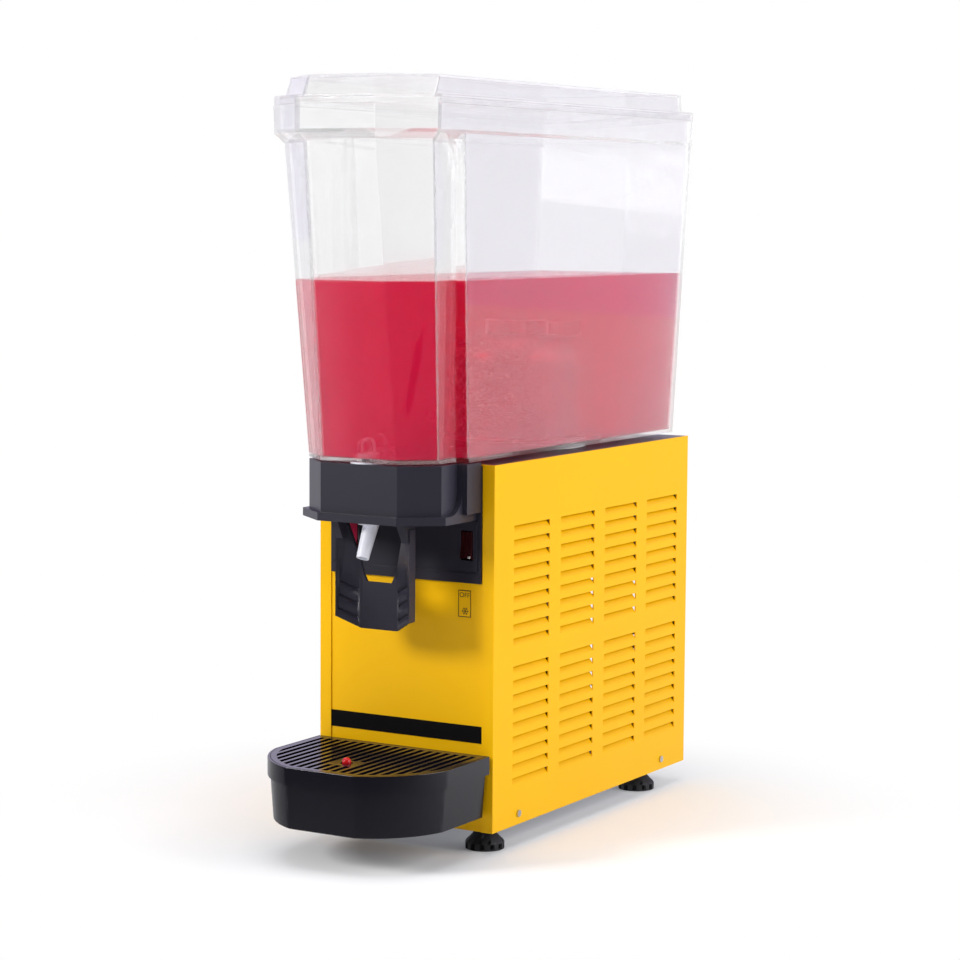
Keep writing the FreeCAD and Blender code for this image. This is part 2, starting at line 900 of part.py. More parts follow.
def make_cradle():
    nose = pad("XY", (flange_top, s.cradle_top), cradle_plan(ZERO))
    flange = pad("XY", (s.flange_low, flange_top), nose_outline(
        s.flange_front_half, s.flange_front, s.flange_half, s.flange_corner, plate_face,
    ))
    hollow = pad("XY", (s.flange_low, s.cradle_top - s.cradle_wall), cradle_plan(s.cradle_wall))
    throat_half = s.flange_half - s.cradle_wall
    tap_hole = rod(
        "Z", (ZERO, -s.tap_centre), s.socket_flange_radius,
        (s.cradle_top - 2 * s.cradle_wall, s.cradle_top),
    )
    lugs = []
    bores = []
    pivot = (-s.pivot_reach, s.pivot_height)
    for side in (-1, 1):
        near = side * s.lug_start
        far = side * (s.lug_start + s.lug_width)
        span = (near, far) if side > 0 else (far, near)
        lugs.append(box(
            span,
            (-s.pivot_reach - s.lug_half, s.lug_half - s.pivot_reach),
            (s.pivot_height - s.lug_half, s.cradle_top - s.cradle_wall),
        ))
        bores.append(rod("X", pivot, s.pivot_pin_radius, span))
    screw_bosses = []
    boss_depth = (plate_face - s.screw_length, plate_face)
    boss_height = (s.cradle_screw_height - 3 * s.screw_radius, s.cradle_screw_height + 3 * s.screw_radius)
    boss_near = cradle_screw_offset - 3 * s.screw_radius
    boss_far = throat_half + s.cradle_wall
    screw_bosses.append(box((boss_near, boss_far), boss_depth, boss_height))
    screw_bosses.append(box((-boss_far, -boss_near), boss_depth, boss_height))
    for centre in cradle_screw_places:
        bores.append(rod("Y", centre, s.screw_radius, boss_depth))
    webs = [cradle_web(side) for side in (-1, 1)]
    hollow_limits = box(
        both_sides(throat_half), (-s.flange_front, plate_face), (s.flange_low, s.cradle_top),
    )
    shell = cut(fuse(nose, flange, *webs), common(hollow, hollow_limits), tap_hole)
    node("bowl_cradle", cut(fuse(shell, *lugs, *screw_bosses), *bores))


# Bowl
tank_floor_top = s.tank_floor + s.tank_wall
tap_centre = (ZERO, -s.tap_centre)
cooler_centre = (ZERO, s.cooler_centre)
gasket_outer = s.cooler_radius + s.soft_gap + s.gasket_width


def tank_plan(front_half, front, side, corner, half, step, rear, inset):
    """The bowl's plan: a nose in front of a step, and the wide part behind it."""
    return mirrored([
        (front_half - inset / 2, inset - front),
        (side - inset, inset / 2 - corner),
        (side - inset, inset - step),
        (half - inset, inset - step),
        (half - inset, rear - inset),
    ])


def tank_main(inset):
    """The drafted main part, from the floor to the shoulder."""
    low = tank_plan(
        s.nose_front_half_low, s.nose_front_low, s.nose_half_low, s.nose_corner_low,
        s.tank_half_low, s.tank_step_low, s.tank_rear_low, inset,
    )
    high = tank_plan(
        s.nose_front_half_high, s.nose_front_high, s.nose_half_high, s.nose_corner_high,
        s.tank_half_high, s.tank_step_high, s.tank_rear_high, inset,
    )
    return loft(s.tank_floor, low, s.tank_shoulder, high)


def tank_slope(inset, rise):
    """The slanted ledge from the nose out to the collar."""
    low = nose_outline(
        s.nose_front_half_high, s.nose_front_high, s.nose_half_high, s.nose_corner_high,
        s.tank_rear_high, inset,
    )
    high = nose_outline(
        s.lid_front_half, s.lid_front, s.tank_half_high, s.lid_corner, s.collar_rear, inset,
    )
    return loft(s.tank_shoulder - s.tank_slope + rise, low, s.tank_shoulder + rise, high)


def tank_arch(side):
    """The arched filling below the collar, in the recess beside the nose."""
    near = side * (s.nose_half_high - s.tank_wall)
    far = side * s.tank_half_high
    span = (near, far) if side > 0 else (far, near)
    centre_y = -s.tank_step_high - s.arch_radius
    centre_z = s.tank_shoulder - s.arch_radius
    block = box(span, (centre_y, -s.tank_step_high), (centre_z, s.tank_shoulder))
    return cut(block, rod("X", (centre_y, centre_z), s.arch_radius, span))


def lid_plan(inset):
    """The lid's outer plan, which the bowl's rim follows."""
    return nose_outline(s.lid_front_half, s.lid_front, s.lid_half, s.lid_corner, s.lid_rear, inset)


def make_tank():
    collar_low = nose_outline(
        s.lid_front_half, s.lid_front, s.tank_half_high, s.lid_corner, s.collar_rear,
    )
    collar_high = nose_outline(
        s.lid_front_half, s.lid_front, s.tank_half_high + s.collar_flare, s.lid_corner,
        s.collar_rear + s.collar_flare,
    )
    collar = loft(s.tank_shoulder, collar_low, s.tank_top, collar_high)
    upstand_inset = s.lid_wall + s.fit_gap
    upstand = pad("XY", (s.tank_top, s.tank_top + s.tank_upstand), lid_plan(upstand_inset))
    mouth = pad(
        "XY", (s.tank_shoulder + s.tank_wall, s.tank_top + s.tank_upstand),
        lid_plan(upstand_inset + s.tank_upstand_wall),
    )
    spigot_low = s.tank_floor - s.spigot_length
    spigot = rod("Z", tap_centre, s.spigot_radius, (spigot_low, s.tank_floor))
    outside = fuse(
        tank_main(ZERO), tank_slope(ZERO, ZERO), collar, upstand, spigot,
        tank_arch(-1), tank_arch(1),
    )
    below_floor = box(
        both_sides(s.housing_width), (-s.lid_front, s.lid_rear),
        (s.tank_floor - s.tank_wall, tank_floor_top),
    )
    inside = cut(tank_main(s.tank_wall), below_floor)
    ledge = tank_slope(s.tank_wall + s.fit_gap, s.tank_wall)
    valve_hole = rod("Z", tap_centre, s.spigot_bore, (spigot_low, tank_floor_top))
    cooler_hole = rod("Z", cooler_centre, gasket_outer, (s.tank_floor, tank_floor_top))
    seal_groove = ring("Z", seal_ring_place, seal_ring_centre_radius, s.seal_ring_radius)
    node("tank", cut(outside, inside, ledge, mouth, valve_hole, cooler_hole, seal_groove))


seal_ring_centre_radius = s.spigot_radius + s.soft_gap - s.seal_ring_radius
seal_ring_place = (ZERO, -s.tap_centre, s.tank_floor - s.seal_ring_drop)


def make_tank_seals():
    """The rubber ring round the chilled dome and the O-ring on the tap spigot."""
    inner = s.cooler_radius + s.soft_gap
    low = deck_top + s.soft_gap
    sleeve = rod("Z", cooler_centre, gasket_outer, (low, tank_floor_top + s.gasket_lip_height))
    lower_lip = rod("Z", cooler_centre, gasket_outer + s.gasket_lip, (low, s.tank_floor))
    upper_lip = rod(
        "Z", cooler_centre, gasket_outer + s.gasket_lip,
        (tank_floor_top, tank_floor_top + s.gasket_lip_height),
    )
    bore = rod("Z", cooler_centre, inner, (low, tank_floor_top + s.gasket_lip_height))
    node("tank_gasket", cut(fuse(sleeve, lower_lip, upper_lip), bore))
    node("spigot_seal", ring("Z", seal_ring_place, seal_ring_centre_radius, s.seal_ring_radius))


def make_lid():
    low = s.tank_top + s.soft_gap
    under = s.lid_flange_top - s.lid_wall
    flange = pad("XY", (low, s.lid_flange_top), lid_plan(ZERO))
    skirt_inside = pad("XY", (low, under), lid_plan(s.lid_wall))

    def raised(inset):
        low_plan = nose_outline(
            s.dome_front_half_low, s.dome_front_low, s.dome_half_low, s.dome_corner_low,
            s.dome_rear_low, inset,
        )
        high_plan = nose_outline(
            s.dome_front_half_high, s.dome_front_high, s.dome_half_high, s.dome_corner_high,
            s.dome_rear_high, inset,
        )
        return loft(under, low_plan, s.lid_top, high_plan)

    above = box(
        both_sides(s.housing_width), (-2 * s.lid_front, 2 * s.lid_rear),
        (s.lid_top - s.lid_wall, s.lid_top + s.lid_wall),
    )
    hollow = cut(raised(s.lid_wall), above)
    node("lid", cut(fuse(flange, raised(ZERO)), skirt_inside, hollow))


# Chilled dome, stirrer and its drive
cooler_top = deck_top + s.cooler_height
drive_high = cooler_top - s.cooler_wall - s.drive_gap
drive_low = drive_high - s.drive_height
motor_high = deck_top - s.sheet - s.stirrer_bracket
motor_low = motor_high - s.stirrer_motor_height
impeller_low = cooler_top + s.fit_gap


def rounded_drum(centre, radius, limits, rounding):
    """A drum whose upper edge is rounded, turned about its own upright axis."""
    low, high = limits
    body = doc.addObject("PartDesign::Body", "Turned")
    feature = body.newObject("PartDesign::Revolution", "Revolution")
    sketch = draw(body, "XZ", -front_y, [
        (ZERO, low), (radius, low), (radius, high - rounding), (radius - rounding, high), (ZERO, high),
    ], {2: rounding})
    feature.Profile = sketch
    feature.ReferenceAxis = (sketch, ["V_Axis"])
    feature.Angle = 360
    body.Tip = feature
    bind(body, "Placement.Base.x", centre[0])
    bind(body, "Placement.Base.y", front_y + centre[1])
    return body


def make_cooler():
    outside = rounded_drum(cooler_centre, s.cooler_radius, (deck_top, cooler_top), s.cooler_round)
    inside = rounded_drum(
        cooler_centre, s.cooler_radius - s.cooler_wall, (deck_top, cooler_top - s.cooler_wall),
        s.cooler_round - s.cooler_wall,
    )
    spindle = rod("Z", cooler_centre, s.spindle_radius, (cooler_top, cooler_top + s.spindle_height))
    node("cooling_dome", fuse(cut(outside, inside), spindle))


def spokes(centre, reach, width, limits, count):
    """Flat blades that stand out from an upright axis at even angles."""
    blades = []
    for index in range(count):
        blade = doc.addObject("Part::Box", "Blade")
        bind(blade, "Length", reach)
        bind(blade, "Width", width)
        bind(blade, "Height", Size(f"({limits[1]} - {limits[0]})"))
        turn = Rotation(Vector(0, 0, 1), 360 / count * index)
        blade.Placement = Placement(Vector(), turn)
        place(blade, centre[0], centre[1], limits[0])
        blades.append(blade)
    return blades


def make_impeller():
    limits = (impeller_low, impeller_low + s.impeller_height)
    hub = rod("Z", cooler_centre, s.impeller_hub_radius, limits)
    blades = spokes(
        cooler_centre, s.impeller_radius, s.impeller_blade, limits, int(number(s.impeller_blades)),
    )
    bore = rod("Z", cooler_centre, s.spindle_radius + s.pin_gap, limits)
    node("stirrer_impeller", cut(fuse(hub, *blades), bore))


def make_stirrer_drive():
    disc = rod("Z", cooler_centre, s.drive_radius, (drive_low, drive_high))
    shaft = rod("Z", cooler_centre, s.spindle_radius, (motor_high - s.stirrer_bracket, drive_low))
    node("stirrer_magnet", fuse(disc, shaft))
    motor = rod("Z", cooler_centre, s.stirrer_motor_radius, (motor_low, motor_high))
    shaft_hole = rod(
        "Z", cooler_centre, s.spindle_radius + s.pin_gap, (motor_high - 2 * s.stirrer_bracket, motor_high),
    )
    node("stirrer_motor", cut(motor, shaft_hole))
    bracket = box(
        both_sides(inner_half),
        (s.cooler_centre - s.stirrer_motor_radius, s.cooler_centre + s.stirrer_motor_radius),
        (motor_high, motor_high + s.stirrer_bracket),
    )
    bracket_hole = rod(
        "Z", cooler_centre, 3 * s.spindle_radius, (motor_high, motor_high + s.stirrer_bracket),
    )
    node("stirrer_bracket", cut(bracket, bracket_hole))


# Tap
socket_top = s.tank_floor - s.soft_gap
socket_bore = s.spigot_radius + 2 * s.soft_gap
socket_floor = s.tank_floor - s.spigot_length - s.soft_gap
socket_low = socket_floor - s.socket_wall
chute_radius = s.spigot_bore + s.chute_wall
chute_low = s.flange_low - s.cradle_wall
foot_low = s.pivot_height + s.soft_gap + s.soft_gap
tongue_top = foot_low - s.soft_gap
valve_seat = tank_floor_top + s.soft_gap
nozzle_end_height = chute_low - s.nozzle_top_drop - s.nozzle_run
nozzle_end_reach = s.nozzle_top_reach + s.nozzle_lean


def nozzle_taper(inset, extra):
    """The leaning outlet, from its end up into the chute."""
    feature = doc.addObject("Part::Cone", "Outlet")
    feature.Placement = Placement(Vector(), Rotation(Vector(-1, 0, 0), 1))
    bind(feature, "Placement.Rotation.Angle", Size(f"atan({s.nozzle_lean} / {s.nozzle_run})"))
    bind(feature, "Radius1", s.nozzle_end_radius - inset)
    bind(feature, "Radius2", s.nozzle_top_radius - inset)
    bind(feature, "Height", Size(f"(sqrt({s.nozzle_lean}^2 + {s.nozzle_run}^2) + {extra})"))
    place(feature, ZERO, -nozzle_end_reach, nozzle_end_height)
    return feature


def make_tap_nozzle():
    flange = rod("Z", tap_centre, s.socket_flange_radius, (socket_top - s.socket_flange_height, socket_top))
    socket = rod("Z", tap_centre, socket_bore + s.socket_wall, (socket_low, socket_top))
    chute = rod("Z", tap_centre, chute_radius, (chute_low, socket_low))
    outlet = nozzle_taper(ZERO, s.nozzle_top_radius / 2)
    socket_hole = rod("Z", tap_centre, socket_bore, (socket_floor, socket_top))
    bore = rod("Z", tap_centre, s.spigot_bore, (chute_low + s.chute_wall, socket_floor))
    outlet_bore = nozzle_taper(s.nozzle_wall, s.nozzle_top_radius / 2)
    slot = box(
        both_sides(s.tongue_half + 2 * s.soft_gap),
        (-s.tap_centre, chute_radius - s.tap_centre),
        (s.pivot_height - 2 * s.tongue_height, s.pivot_height + 3 * s.tongue_height),
    )
    node("tap_nozzle", cut(fuse(flange, socket, chute, outlet), socket_hole, bore, outlet_bore, slot))


def make_plunger():
    """The valve that the lever lifts off its seat in the bowl's floor."""
    seal_high = valve_seat + s.plunger_seal_height
    head_high = seal_high + s.plunger_head_height
    loop_z = tank_floor_top + s.plunger_loop_height - s.plunger_loop_radius - s.plunger_loop_rod
    foot_centre = foot_low + s.plunger_stem_radius
    stem = rod("Z", tap_centre, s.plunger_stem_radius, (foot_centre, seal_high))
    foot = ball((ZERO, -s.tap_centre, foot_centre), s.plunger_stem_radius)
    head = rod("Z", tap_centre, s.plunger_head_radius, (seal_high, head_high))
    legs = [
        rod("Z", (side * s.plunger_loop_radius, -s.tap_centre), s.plunger_loop_rod, (seal_high, loop_z))
        for side in (-1, 1)
    ]
    bow = cut(
        ring("Y", (ZERO, -s.tap_centre, loop_z), s.plunger_loop_radius, s.plunger_loop_rod),
        box(
            both_sides(s.plunger_head_radius),
            (-s.tap_centre - s.plunger_head_radius, s.plunger_head_radius - s.tap_centre),
            (loop_z - s.plunger_head_radius, loop_z),
        ),
    )
    node("valve_plunger", fuse(stem, foot, head, bow, *legs))
    seal = rod("Z", tap_centre, s.plunger_head_radius, (valve_seat, seal_high))
    seal_bore = rod("Z", tap_centre, s.plunger_stem_radius, (valve_seat, seal_high))
    node("valve_seal", cut(seal, seal_bore))


# Push lever
def lever_plan():
    """The lever's section: a flat facet between two wings that flare forward."""
    wing = f"atan(({s.lever_wing_reach} - {s.lever_facet_reach}) / ({s.lever_half} - {s.lever_facet_half}))"
    slope = (s.lever_wing_reach - s.lever_facet_reach) / (s.lever_half - s.lever_facet_half)
    facet_back_half = s.lever_facet_half + s.lever_wall * Size(f"tan({wing} / 2)")
    wing_back = s.lever_wall / Size(f"cos({wing})") + s.lever_side_wall * slope - s.lever_wing_reach
    right = [
        (s.lever_facet_half, -s.lever_facet_reach),
        (s.lever_half, -s.lever_wing_reach),
        (s.lever_half, -s.lever_side_back),
        (s.lever_half - s.lever_side_wall, -s.lever_side_back),
        (s.lever_half - s.lever_side_wall, wing_back),
        (facet_back_half, s.lever_wall - s.lever_facet_reach),
    ]
    return mirrored(right)


def lever_arm(side):
    """One arm, from the wing up to its eye on the pivot."""
    near = side * s.arm_inner
    far = side * s.arm_outer
    span = (near, far) if side > 0 else (far, near)
    profile = [
        (-s.lever_wing_reach, s.arm_low),
        (-s.lever_side_back, s.arm_low),
        (-s.arm_back, s.arm_bend_height),
        (-s.arm_back, s.pivot_height),
        (2 * s.pivot_pin_radius - s.pivot_reach, s.pivot_height + s.arm_eye),
        (-s.pivot_reach, s.pivot_height + s.arm_eye),
        (-s.pivot_reach - s.arm_eye, s.pivot_height + s.arm_eye / 2),
        (-s.pivot_reach - s.arm_eye, s.pivot_height - s.arm_eye / 2),
    ]
    return pad("YZ", span, profile)


def make_push_lever():
    plate = pad("XY", (s.lever_low, s.lever_high), lever_plan())
    through = (-s.lever_wing_reach, -s.arm_back + s.lever_wall)
    window = pad("XZ", through, [
        (s.window_low_half, s.window_low),
        (s.window_shoulder_half, s.window_shoulder),
        (s.window_high_half, s.lever_high),
        (-s.window_high_half, s.lever_high),
        (-s.window_shoulder_half, s.window_shoulder),
        (-s.window_low_half, s.window_low),
    ])
    bevels = [
        pad("XZ", through, points)
        for points in (
            [(s.lever_facet_half, s.lever_low), (s.lever_half, s.lever_low), (s.lever_half, s.lever_wing_low)],
            [(-s.lever_half, s.lever_low), (-s.lever_facet_half, s.lever_low), (-s.lever_half, s.lever_wing_low)],
        )
    ]
    bar_front = -s.arm_back - s.crossbar_depth - s.soft_gap
    crossbar = box(
        both_sides(s.arm_inner), (bar_front, bar_front + s.crossbar_depth),
        (tongue_top - s.crossbar_height, tongue_top),
    )
    tongue = box(
        both_sides(s.tongue_half), (-s.tap_centre - s.tongue_overlap, bar_front),
        (tongue_top - s.tongue_height, tongue_top),
    )
    eyes = rod(
        "X", (-s.pivot_reach, s.pivot_height), s.pivot_pin_radius + s.pin_gap, both_sides(s.arm_outer),
    )
    lever = fuse(cut(plate, window, *bevels), lever_arm(-1), lever_arm(1), crossbar, tongue)
    node("push_lever", cut(lever, eyes))


def make_pivot():
    """The two short pins of the lever and the springs that bring it back."""
    pivot = (-s.pivot_reach, s.pivot_height)
    spring_far = s.arm_inner - s.soft_gap
    spring_near = spring_far - s.lever_spring_length
    pins = []
    springs = []
    for side in (-1, 1):
        pin_limits = [side * spring_near, side * (s.lug_start + s.lug_width)]
        spring_limits = [side * spring_near, side * spring_far]
        if side < 0:
            pin_limits.reverse()
            spring_limits.reverse()
        pins.append(rod("X", pivot, s.pivot_pin_radius, pin_limits))
        springs.append(cut(
            rod("X", pivot, s.lever_spring_radius, spring_limits),
            rod("X", pivot, s.pivot_pin_radius, spring_limits),
        ))
    node("lever_pivot_pins", fuse(*pins))
    node("lever_springs", fuse(*springs))


# Drip tray, grid and float
tray_inner = s.tray_floor + s.tray_low


def tray_plan(inset, draft=0):
    """The tray's plan: a flat front, two large round corners and straight sides."""
    total = inset + draft
    return [
        (s.tray_front_half, total - s.tray_front),
        (tray_half - total, -s.tray_corner_end),
        (tray_half - total, -s.tray_back - inset),
        (total - tray_half, -s.tray_back - inset),
        (total - tray_half, -s.tray_corner_end),
        (-s.tray_front_half, total - s.tray_front),
    ]


def tray_arcs(inset, draft=0):
    """The radii of the tray's two round corners."""
    radius = s.tray_corner_radius - inset - draft
    return {0: radius, 4: radius}


def make_tray():
    band = pad("XY", (s.tray_band_low, s.tray_top), tray_plan(ZERO), tray_arcs(ZERO))
    tub = loft(
        s.tray_low, tray_plan(s.tray_inset, s.tray_draft),
        s.tray_band_low, tray_plan(s.tray_inset),
        tray_arcs(s.tray_inset, s.tray_draft), tray_arcs(s.tray_inset),
    )
    ledge_inset = s.tray_rim + s.tray_ledge
    ledge = s.tray_top - s.grid_height - s.soft_gap
    well = loft(
        tray_inner, tray_plan(ledge_inset, s.tray_draft), ledge, tray_plan(ledge_inset),
        tray_arcs(ledge_inset, s.tray_draft), tray_arcs(ledge_inset),
    )
    recess = pad("XY", (ledge, s.tray_top), tray_plan(s.tray_rim), tray_arcs(s.tray_rim))
    hooks = [
        box(
            (side * s.tray_hook_offset - s.tray_hook_half, side * s.tray_hook_offset + s.tray_hook_half),
            (-s.tray_back - s.tray_rim - s.tray_inset, s.tray_hook_length),
            (s.tray_hook_low, s.tray_hook_low + s.tray_hook_height),
        )
        for side in (-1, 1)
    ]
    node("drip_tray", cut(fuse(band, tub, *hooks), well, recess))


def make_grid():
    inset = s.tray_rim + s.soft_gap
    high = s.tray_top
    low = high - s.grid_height
    plate = pad("XY", (low, high), tray_plan(inset), tray_arcs(inset))
    border = inset + s.grid_border
    slot_zone = pad("XY", (low, high), tray_plan(border), tray_arcs(border))
    aside = int(number(s.grid_slots_aside))
    island = 2 * s.float_hole_radius
    slots = []
    for index in range(-aside, aside + 1):
        middle = s.grid_pitch * index
        span = (middle - s.grid_slot / 2, middle + s.grid_slot / 2)
        if abs(index) <= 1:
            slots.append(box(span, (-s.tray_front, -s.float_reach - island), (low, high)))
            slots.append(box(span, (island - s.float_reach, -s.grid_slot_back), (low, high)))
        else:
            slots.append(box(span, (-s.tray_front, -s.grid_slot_back), (low, high)))
    float_hole = rod("Z", (ZERO, -s.float_reach), s.float_hole_radius, (low, high))
    node("drip_grid", cut(plate, common(fuse(*slots), slot_zone), float_hole))


def make_float():
    """The float that lifts its red button when the tray is full."""
    centre = (ZERO, -s.float_reach)
    low = tray_inner + s.soft_gap
    disc_high = low + s.float_disc_height
    button_centre = s.tray_top + s.float_proud - s.float_button_radius
    button = ball((centre[0], centre[1], button_centre), s.float_button_radius)
    node("level_float", fuse(
        rod("Z", centre, s.float_disc_radius, (low, disc_high)),
        rod("Z", centre, s.float_stem_radius, (disc_high, button_centre)),
        button,
    ))


# Cooling machinery
grommet_low = pan_top
compressor_plate_low = grommet_low + s.grommet_height
compressor_low = compressor_plate_low + s.compressor_plate
condenser_back = s.condenser_front + s.condenser_depth
shroud_back = condenser_back + s.shroud_thickness
fan_low = shroud_back + s.fan_gap
fan_high = fan_low + s.fan_hub_depth
fan_motor_front = fan_high + s.fan_gap
fan_centre = (ZERO, s.fan_centre)


def make_condenser():
    width = both_sides(s.condenser_half)
    high = pan_top + s.condenser_height
    node("condenser", box(width, (s.condenser_front, condenser_back), (pan_top, high)))
    shroud = box(width, (condenser_back, shroud_back), (pan_top, high))
    opening = rod("Y", fan_centre, s.fan_radius + s.fan_gap, (condenser_back, shroud_back))
    node("fan_shroud", cut(shroud, opening))


def make_fan():
    hub = rod("Y", fan_centre, s.fan_hub_radius, (fan_low, fan_high))
    blades = []
    count = int(number(s.fan_blades))
    for index in range(count):
        blade = doc.addObject("Part::Box", "Blade")
        bind(blade, "Length", s.fan_blade_width)
        bind(blade, "Width", s.fan_blade_thickness)
        bind(blade, "Height", s.fan_radius)
        turn = Rotation(Vector(0, 1, 0), 360 / count * index)
        blade.Placement = Placement(Vector(), turn)
        place(blade, fan_centre[0], (fan_low + fan_high) / 2, fan_centre[1])
        blades.append(blade)
    bore = rod("Y", fan_centre, s.fan_shaft_radius, (fan_low, fan_high))
    shaft = rod("Y", fan_centre, s.fan_shaft_radius, (fan_low, fan_motor_front + s.fan_gap))
    node("fan_blades", cut(fuse(hub, *blades), bore))
    node("fan_shaft", shaft)
    motor_back = fan_motor_front + s.fan_motor_depth
    motor = rod("Y", fan_centre, s.fan_motor_radius, (fan_motor_front, motor_back))
    shaft_hole = rod(
        "Y", fan_centre, s.fan_shaft_radius + s.pin_gap, (fan_motor_front, fan_motor_front + 2 * s.fan_gap),
    )
    node("fan_motor", cut(motor, shaft_hole))
    post = box(
        both_sides(s.fan_bracket_width / 2), (fan_motor_front + s.fan_gap, motor_back),
        (pan_top, s.fan_centre),
    )
    saddle = rod("Y", fan_centre, s.fan_motor_radius, (fan_motor_front, motor_back))
    node("fan_bracket", cut(post, saddle))


def make_compressor():
    centre = (-s.compressor_offset, s.compressor_centre)
    high = compressor_low + s.compressor_height
    node("compressor", rounded_drum(centre, s.compressor_radius, (compressor_low, high), s.compressor_round))
    node("compressor_plate", box(
        (centre[0] - s.compressor_plate_half, centre[0] + s.compressor_plate_half),
        (centre[1] - s.compressor_plate_half, centre[1] + s.compressor_plate_half),
        (compressor_plate_low, compressor_low),
    ))
    grommets = [
        rod(
            "Z", (centre[0] + x * s.grommet_offset, centre[1] + y * s.grommet_offset),
            s.grommet_radius, (grommet_low, compressor_plate_low),
        )
        for x in (-1, 1)
        for y in (-1, 1)
    ]
    node("compressor_grommets", fuse(*grommets))


def pipe(points):
    """A bent tube along straight runs with round corners."""
    places = [Vector(number(x), number(front_y + y), number(floor_z + z)) for x, y, z in points]
    bend = 2 * number(s.pipe_radius)
    edges = []
    start = places[0]
    for before, corner, after in zip(places, places[1:], places[2:]):
        into = (before - corner).normalize()
        out = (after - corner).normalize()
        near = corner + into * bend
        far = corner + out * bend
        middle = corner + (into + out) * bend * (1 - 0.5 ** 0.5)
        edges.append(Part.LineSegment(start, near).toShape())
        edges.append(Part.Arc(near, middle, far).toShape())
        start = far
    edges.append(Part.LineSegment(start, places[-1]).toShape())
    path = Part.Wire(edges)
    section = Part.Circle(places[0], places[1] - places[0], number(s.pipe_radius)).toShape()
    return path.makePipeShell([Part.Wire([section])], True, True)


def make_pipes():
    """The hot pipe to the condenser, the pipe to the drier and the cold pipe to the dome."""
    drier_x = s.drier_offset
    drier_y = s.drier_centre
    node("filter_drier", rod(
        "Z", (drier_x, drier_y), s.drier_radius, (s.drier_low, s.drier_low + s.drier_height),
    ))
    compressor_side = s.compressor_centre - s.compressor_radius
    pipe_low = compressor_low + s.compressor_height / 3
    run_x = s.condenser_half + 3 * s.pipe_radius
    condenser_x = s.condenser_half
    entry_y = s.condenser_front + s.condenser_depth / 2
    hot_z = pan_top + s.condenser_height / 2
    hot_pipe = pipe([
        (-s.compressor_offset, compressor_side, pipe_low),
        (-s.compressor_offset, compressor_side - 6 * s.pipe_radius, pipe_low),
        (-run_x, compressor_side - 6 * s.pipe_radius, pipe_low),
        (-run_x, entry_y, pipe_low),
        (-run_x, entry_y, hot_z + 6 * s.pipe_radius),
        (-condenser_x, entry_y, hot_z + 6 * s.pipe_radius),
    ])
    liquid_pipe = pipe([
        (condenser_x, entry_y, s.drier_low / 2),
        (drier_x, entry_y, s.drier_low / 2),
        (drier_x, drier_y, s.drier_low / 2),
        (drier_x, drier_y, s.drier_low),
    ])
    cold_high = deck_top - 4 * s.sheet - 9 * s.pipe_radius
    behind_motor = s.cooler_centre + s.stirrer_motor_radius + 4 * s.pipe_radius
    cold_pipe = pipe([
        (drier_x, drier_y, s.drier_low + s.drier_height),
        (drier_x, drier_y, cold_high),
        (drier_x, behind_motor, cold_high),
        (-s.compressor_offset, behind_motor, cold_high),
        (-s.compressor_offset, s.compressor_centre, cold_high),
        (-s.compressor_offset, s.compressor_centre, compressor_low + s.compressor_height),
    ])
    for name, shape in (("hot_pipe", hot_pipe), ("liquid_pipe", liquid_pipe), ("suction_pipe", cold_pipe)):
        feature = doc.addObject("Part::Feature", name)
        feature.Shape = shape
        node(name, feature)


def make_rear_fittings():
    gland_centre = (-s.gland_offset, s.gland_height)
    rim = rod("Y", gland_centre, s.gland_rim_radius, (rear_y - s.sheet, rear_y - s.sheet + s.gland_rim_depth))
    sleeve = rod("Y", gland_centre, s.gland_radius, (rear_panel_front - s.gland_length, rear_y - s.sheet))
    bore = rod(
        "Y", gland_centre, s.gland_bore,
        (rear_panel_front - s.gland_length, rear_y - s.sheet + s.gland_rim_depth),
    )
    node("cord_gland", cut(fuse(rim, sleeve), bore))
    centre = (s.thermostat_offset, s.thermostat_height)
    body_front = rear_panel_front - s.thermostat_depth
    body = box(
        (centre[0] - s.thermostat_half, centre[0] + s.thermostat_half),
        (body_front, rear_panel_front),
        (centre[1] - s.thermostat_half, centre[1] + s.thermostat_half),
    )
    shaft_limits = (rear_panel_front - s.sheet, rear_y + s.knob_depth)
    shaft_hole = rod(
        "Y", centre, s.thermostat_shaft_radius + s.pin_gap, (body_front + s.sheet, rear_panel_front),
    )
    node("thermostat_body", cut(body, shaft_hole))
    knob_low = rear_y - s.sheet + s.soft_gap
    knob = rod("Y", centre, s.knob_radius, (knob_low, knob_low + s.knob_depth))
    shaft = rod("Y", centre, s.thermostat_shaft_radius, (shaft_limits[0], knob_low))
    node("thermostat_knob", fuse(knob, shaft))


make_base_pan()
make_side_panel("left_side_panel", -1)
make_side_panel("right_side_panel", 1)
make_front_panel()
make_rear_panel()
make_deck()
make_screws()
make_feet()
make_front_trim()
make_control_plate()
make_switch("left", -1)
make_switch("right", 1)
make_cradle()
make_tank()
make_tank_seals()
make_lid()
make_cooler()
make_impeller()
make_stirrer_drive()
make_tap_nozzle()
make_plunger()
make_push_lever()
make_pivot()
make_tray()
make_grid()
make_float()
make_condenser()
make_fan()
make_compressor()
make_pipes()
make_rear_fittings()
doc.recompute()

failed = [item.Label for item in doc.Objects if "Invalid" in item.State or "Error" in item.State]
failed += [item.Label for item in nodes if item.Shape.isNull() or not item.Shape.isValid()]
if failed:
    raise ValueError(f"These could not be built: {failed}")

os.makedirs("parts", exist_ok=True)
for item in nodes:
    item.Shape.exportStep(f"parts/{item.Label}.step")
    print(item.Label, round(item.Shape.Volume / 1000, 2), "cm3", len(item.Shape.Solids), "solids")
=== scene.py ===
import json
import math
import bpy
from mathutils import Matrix, Vector


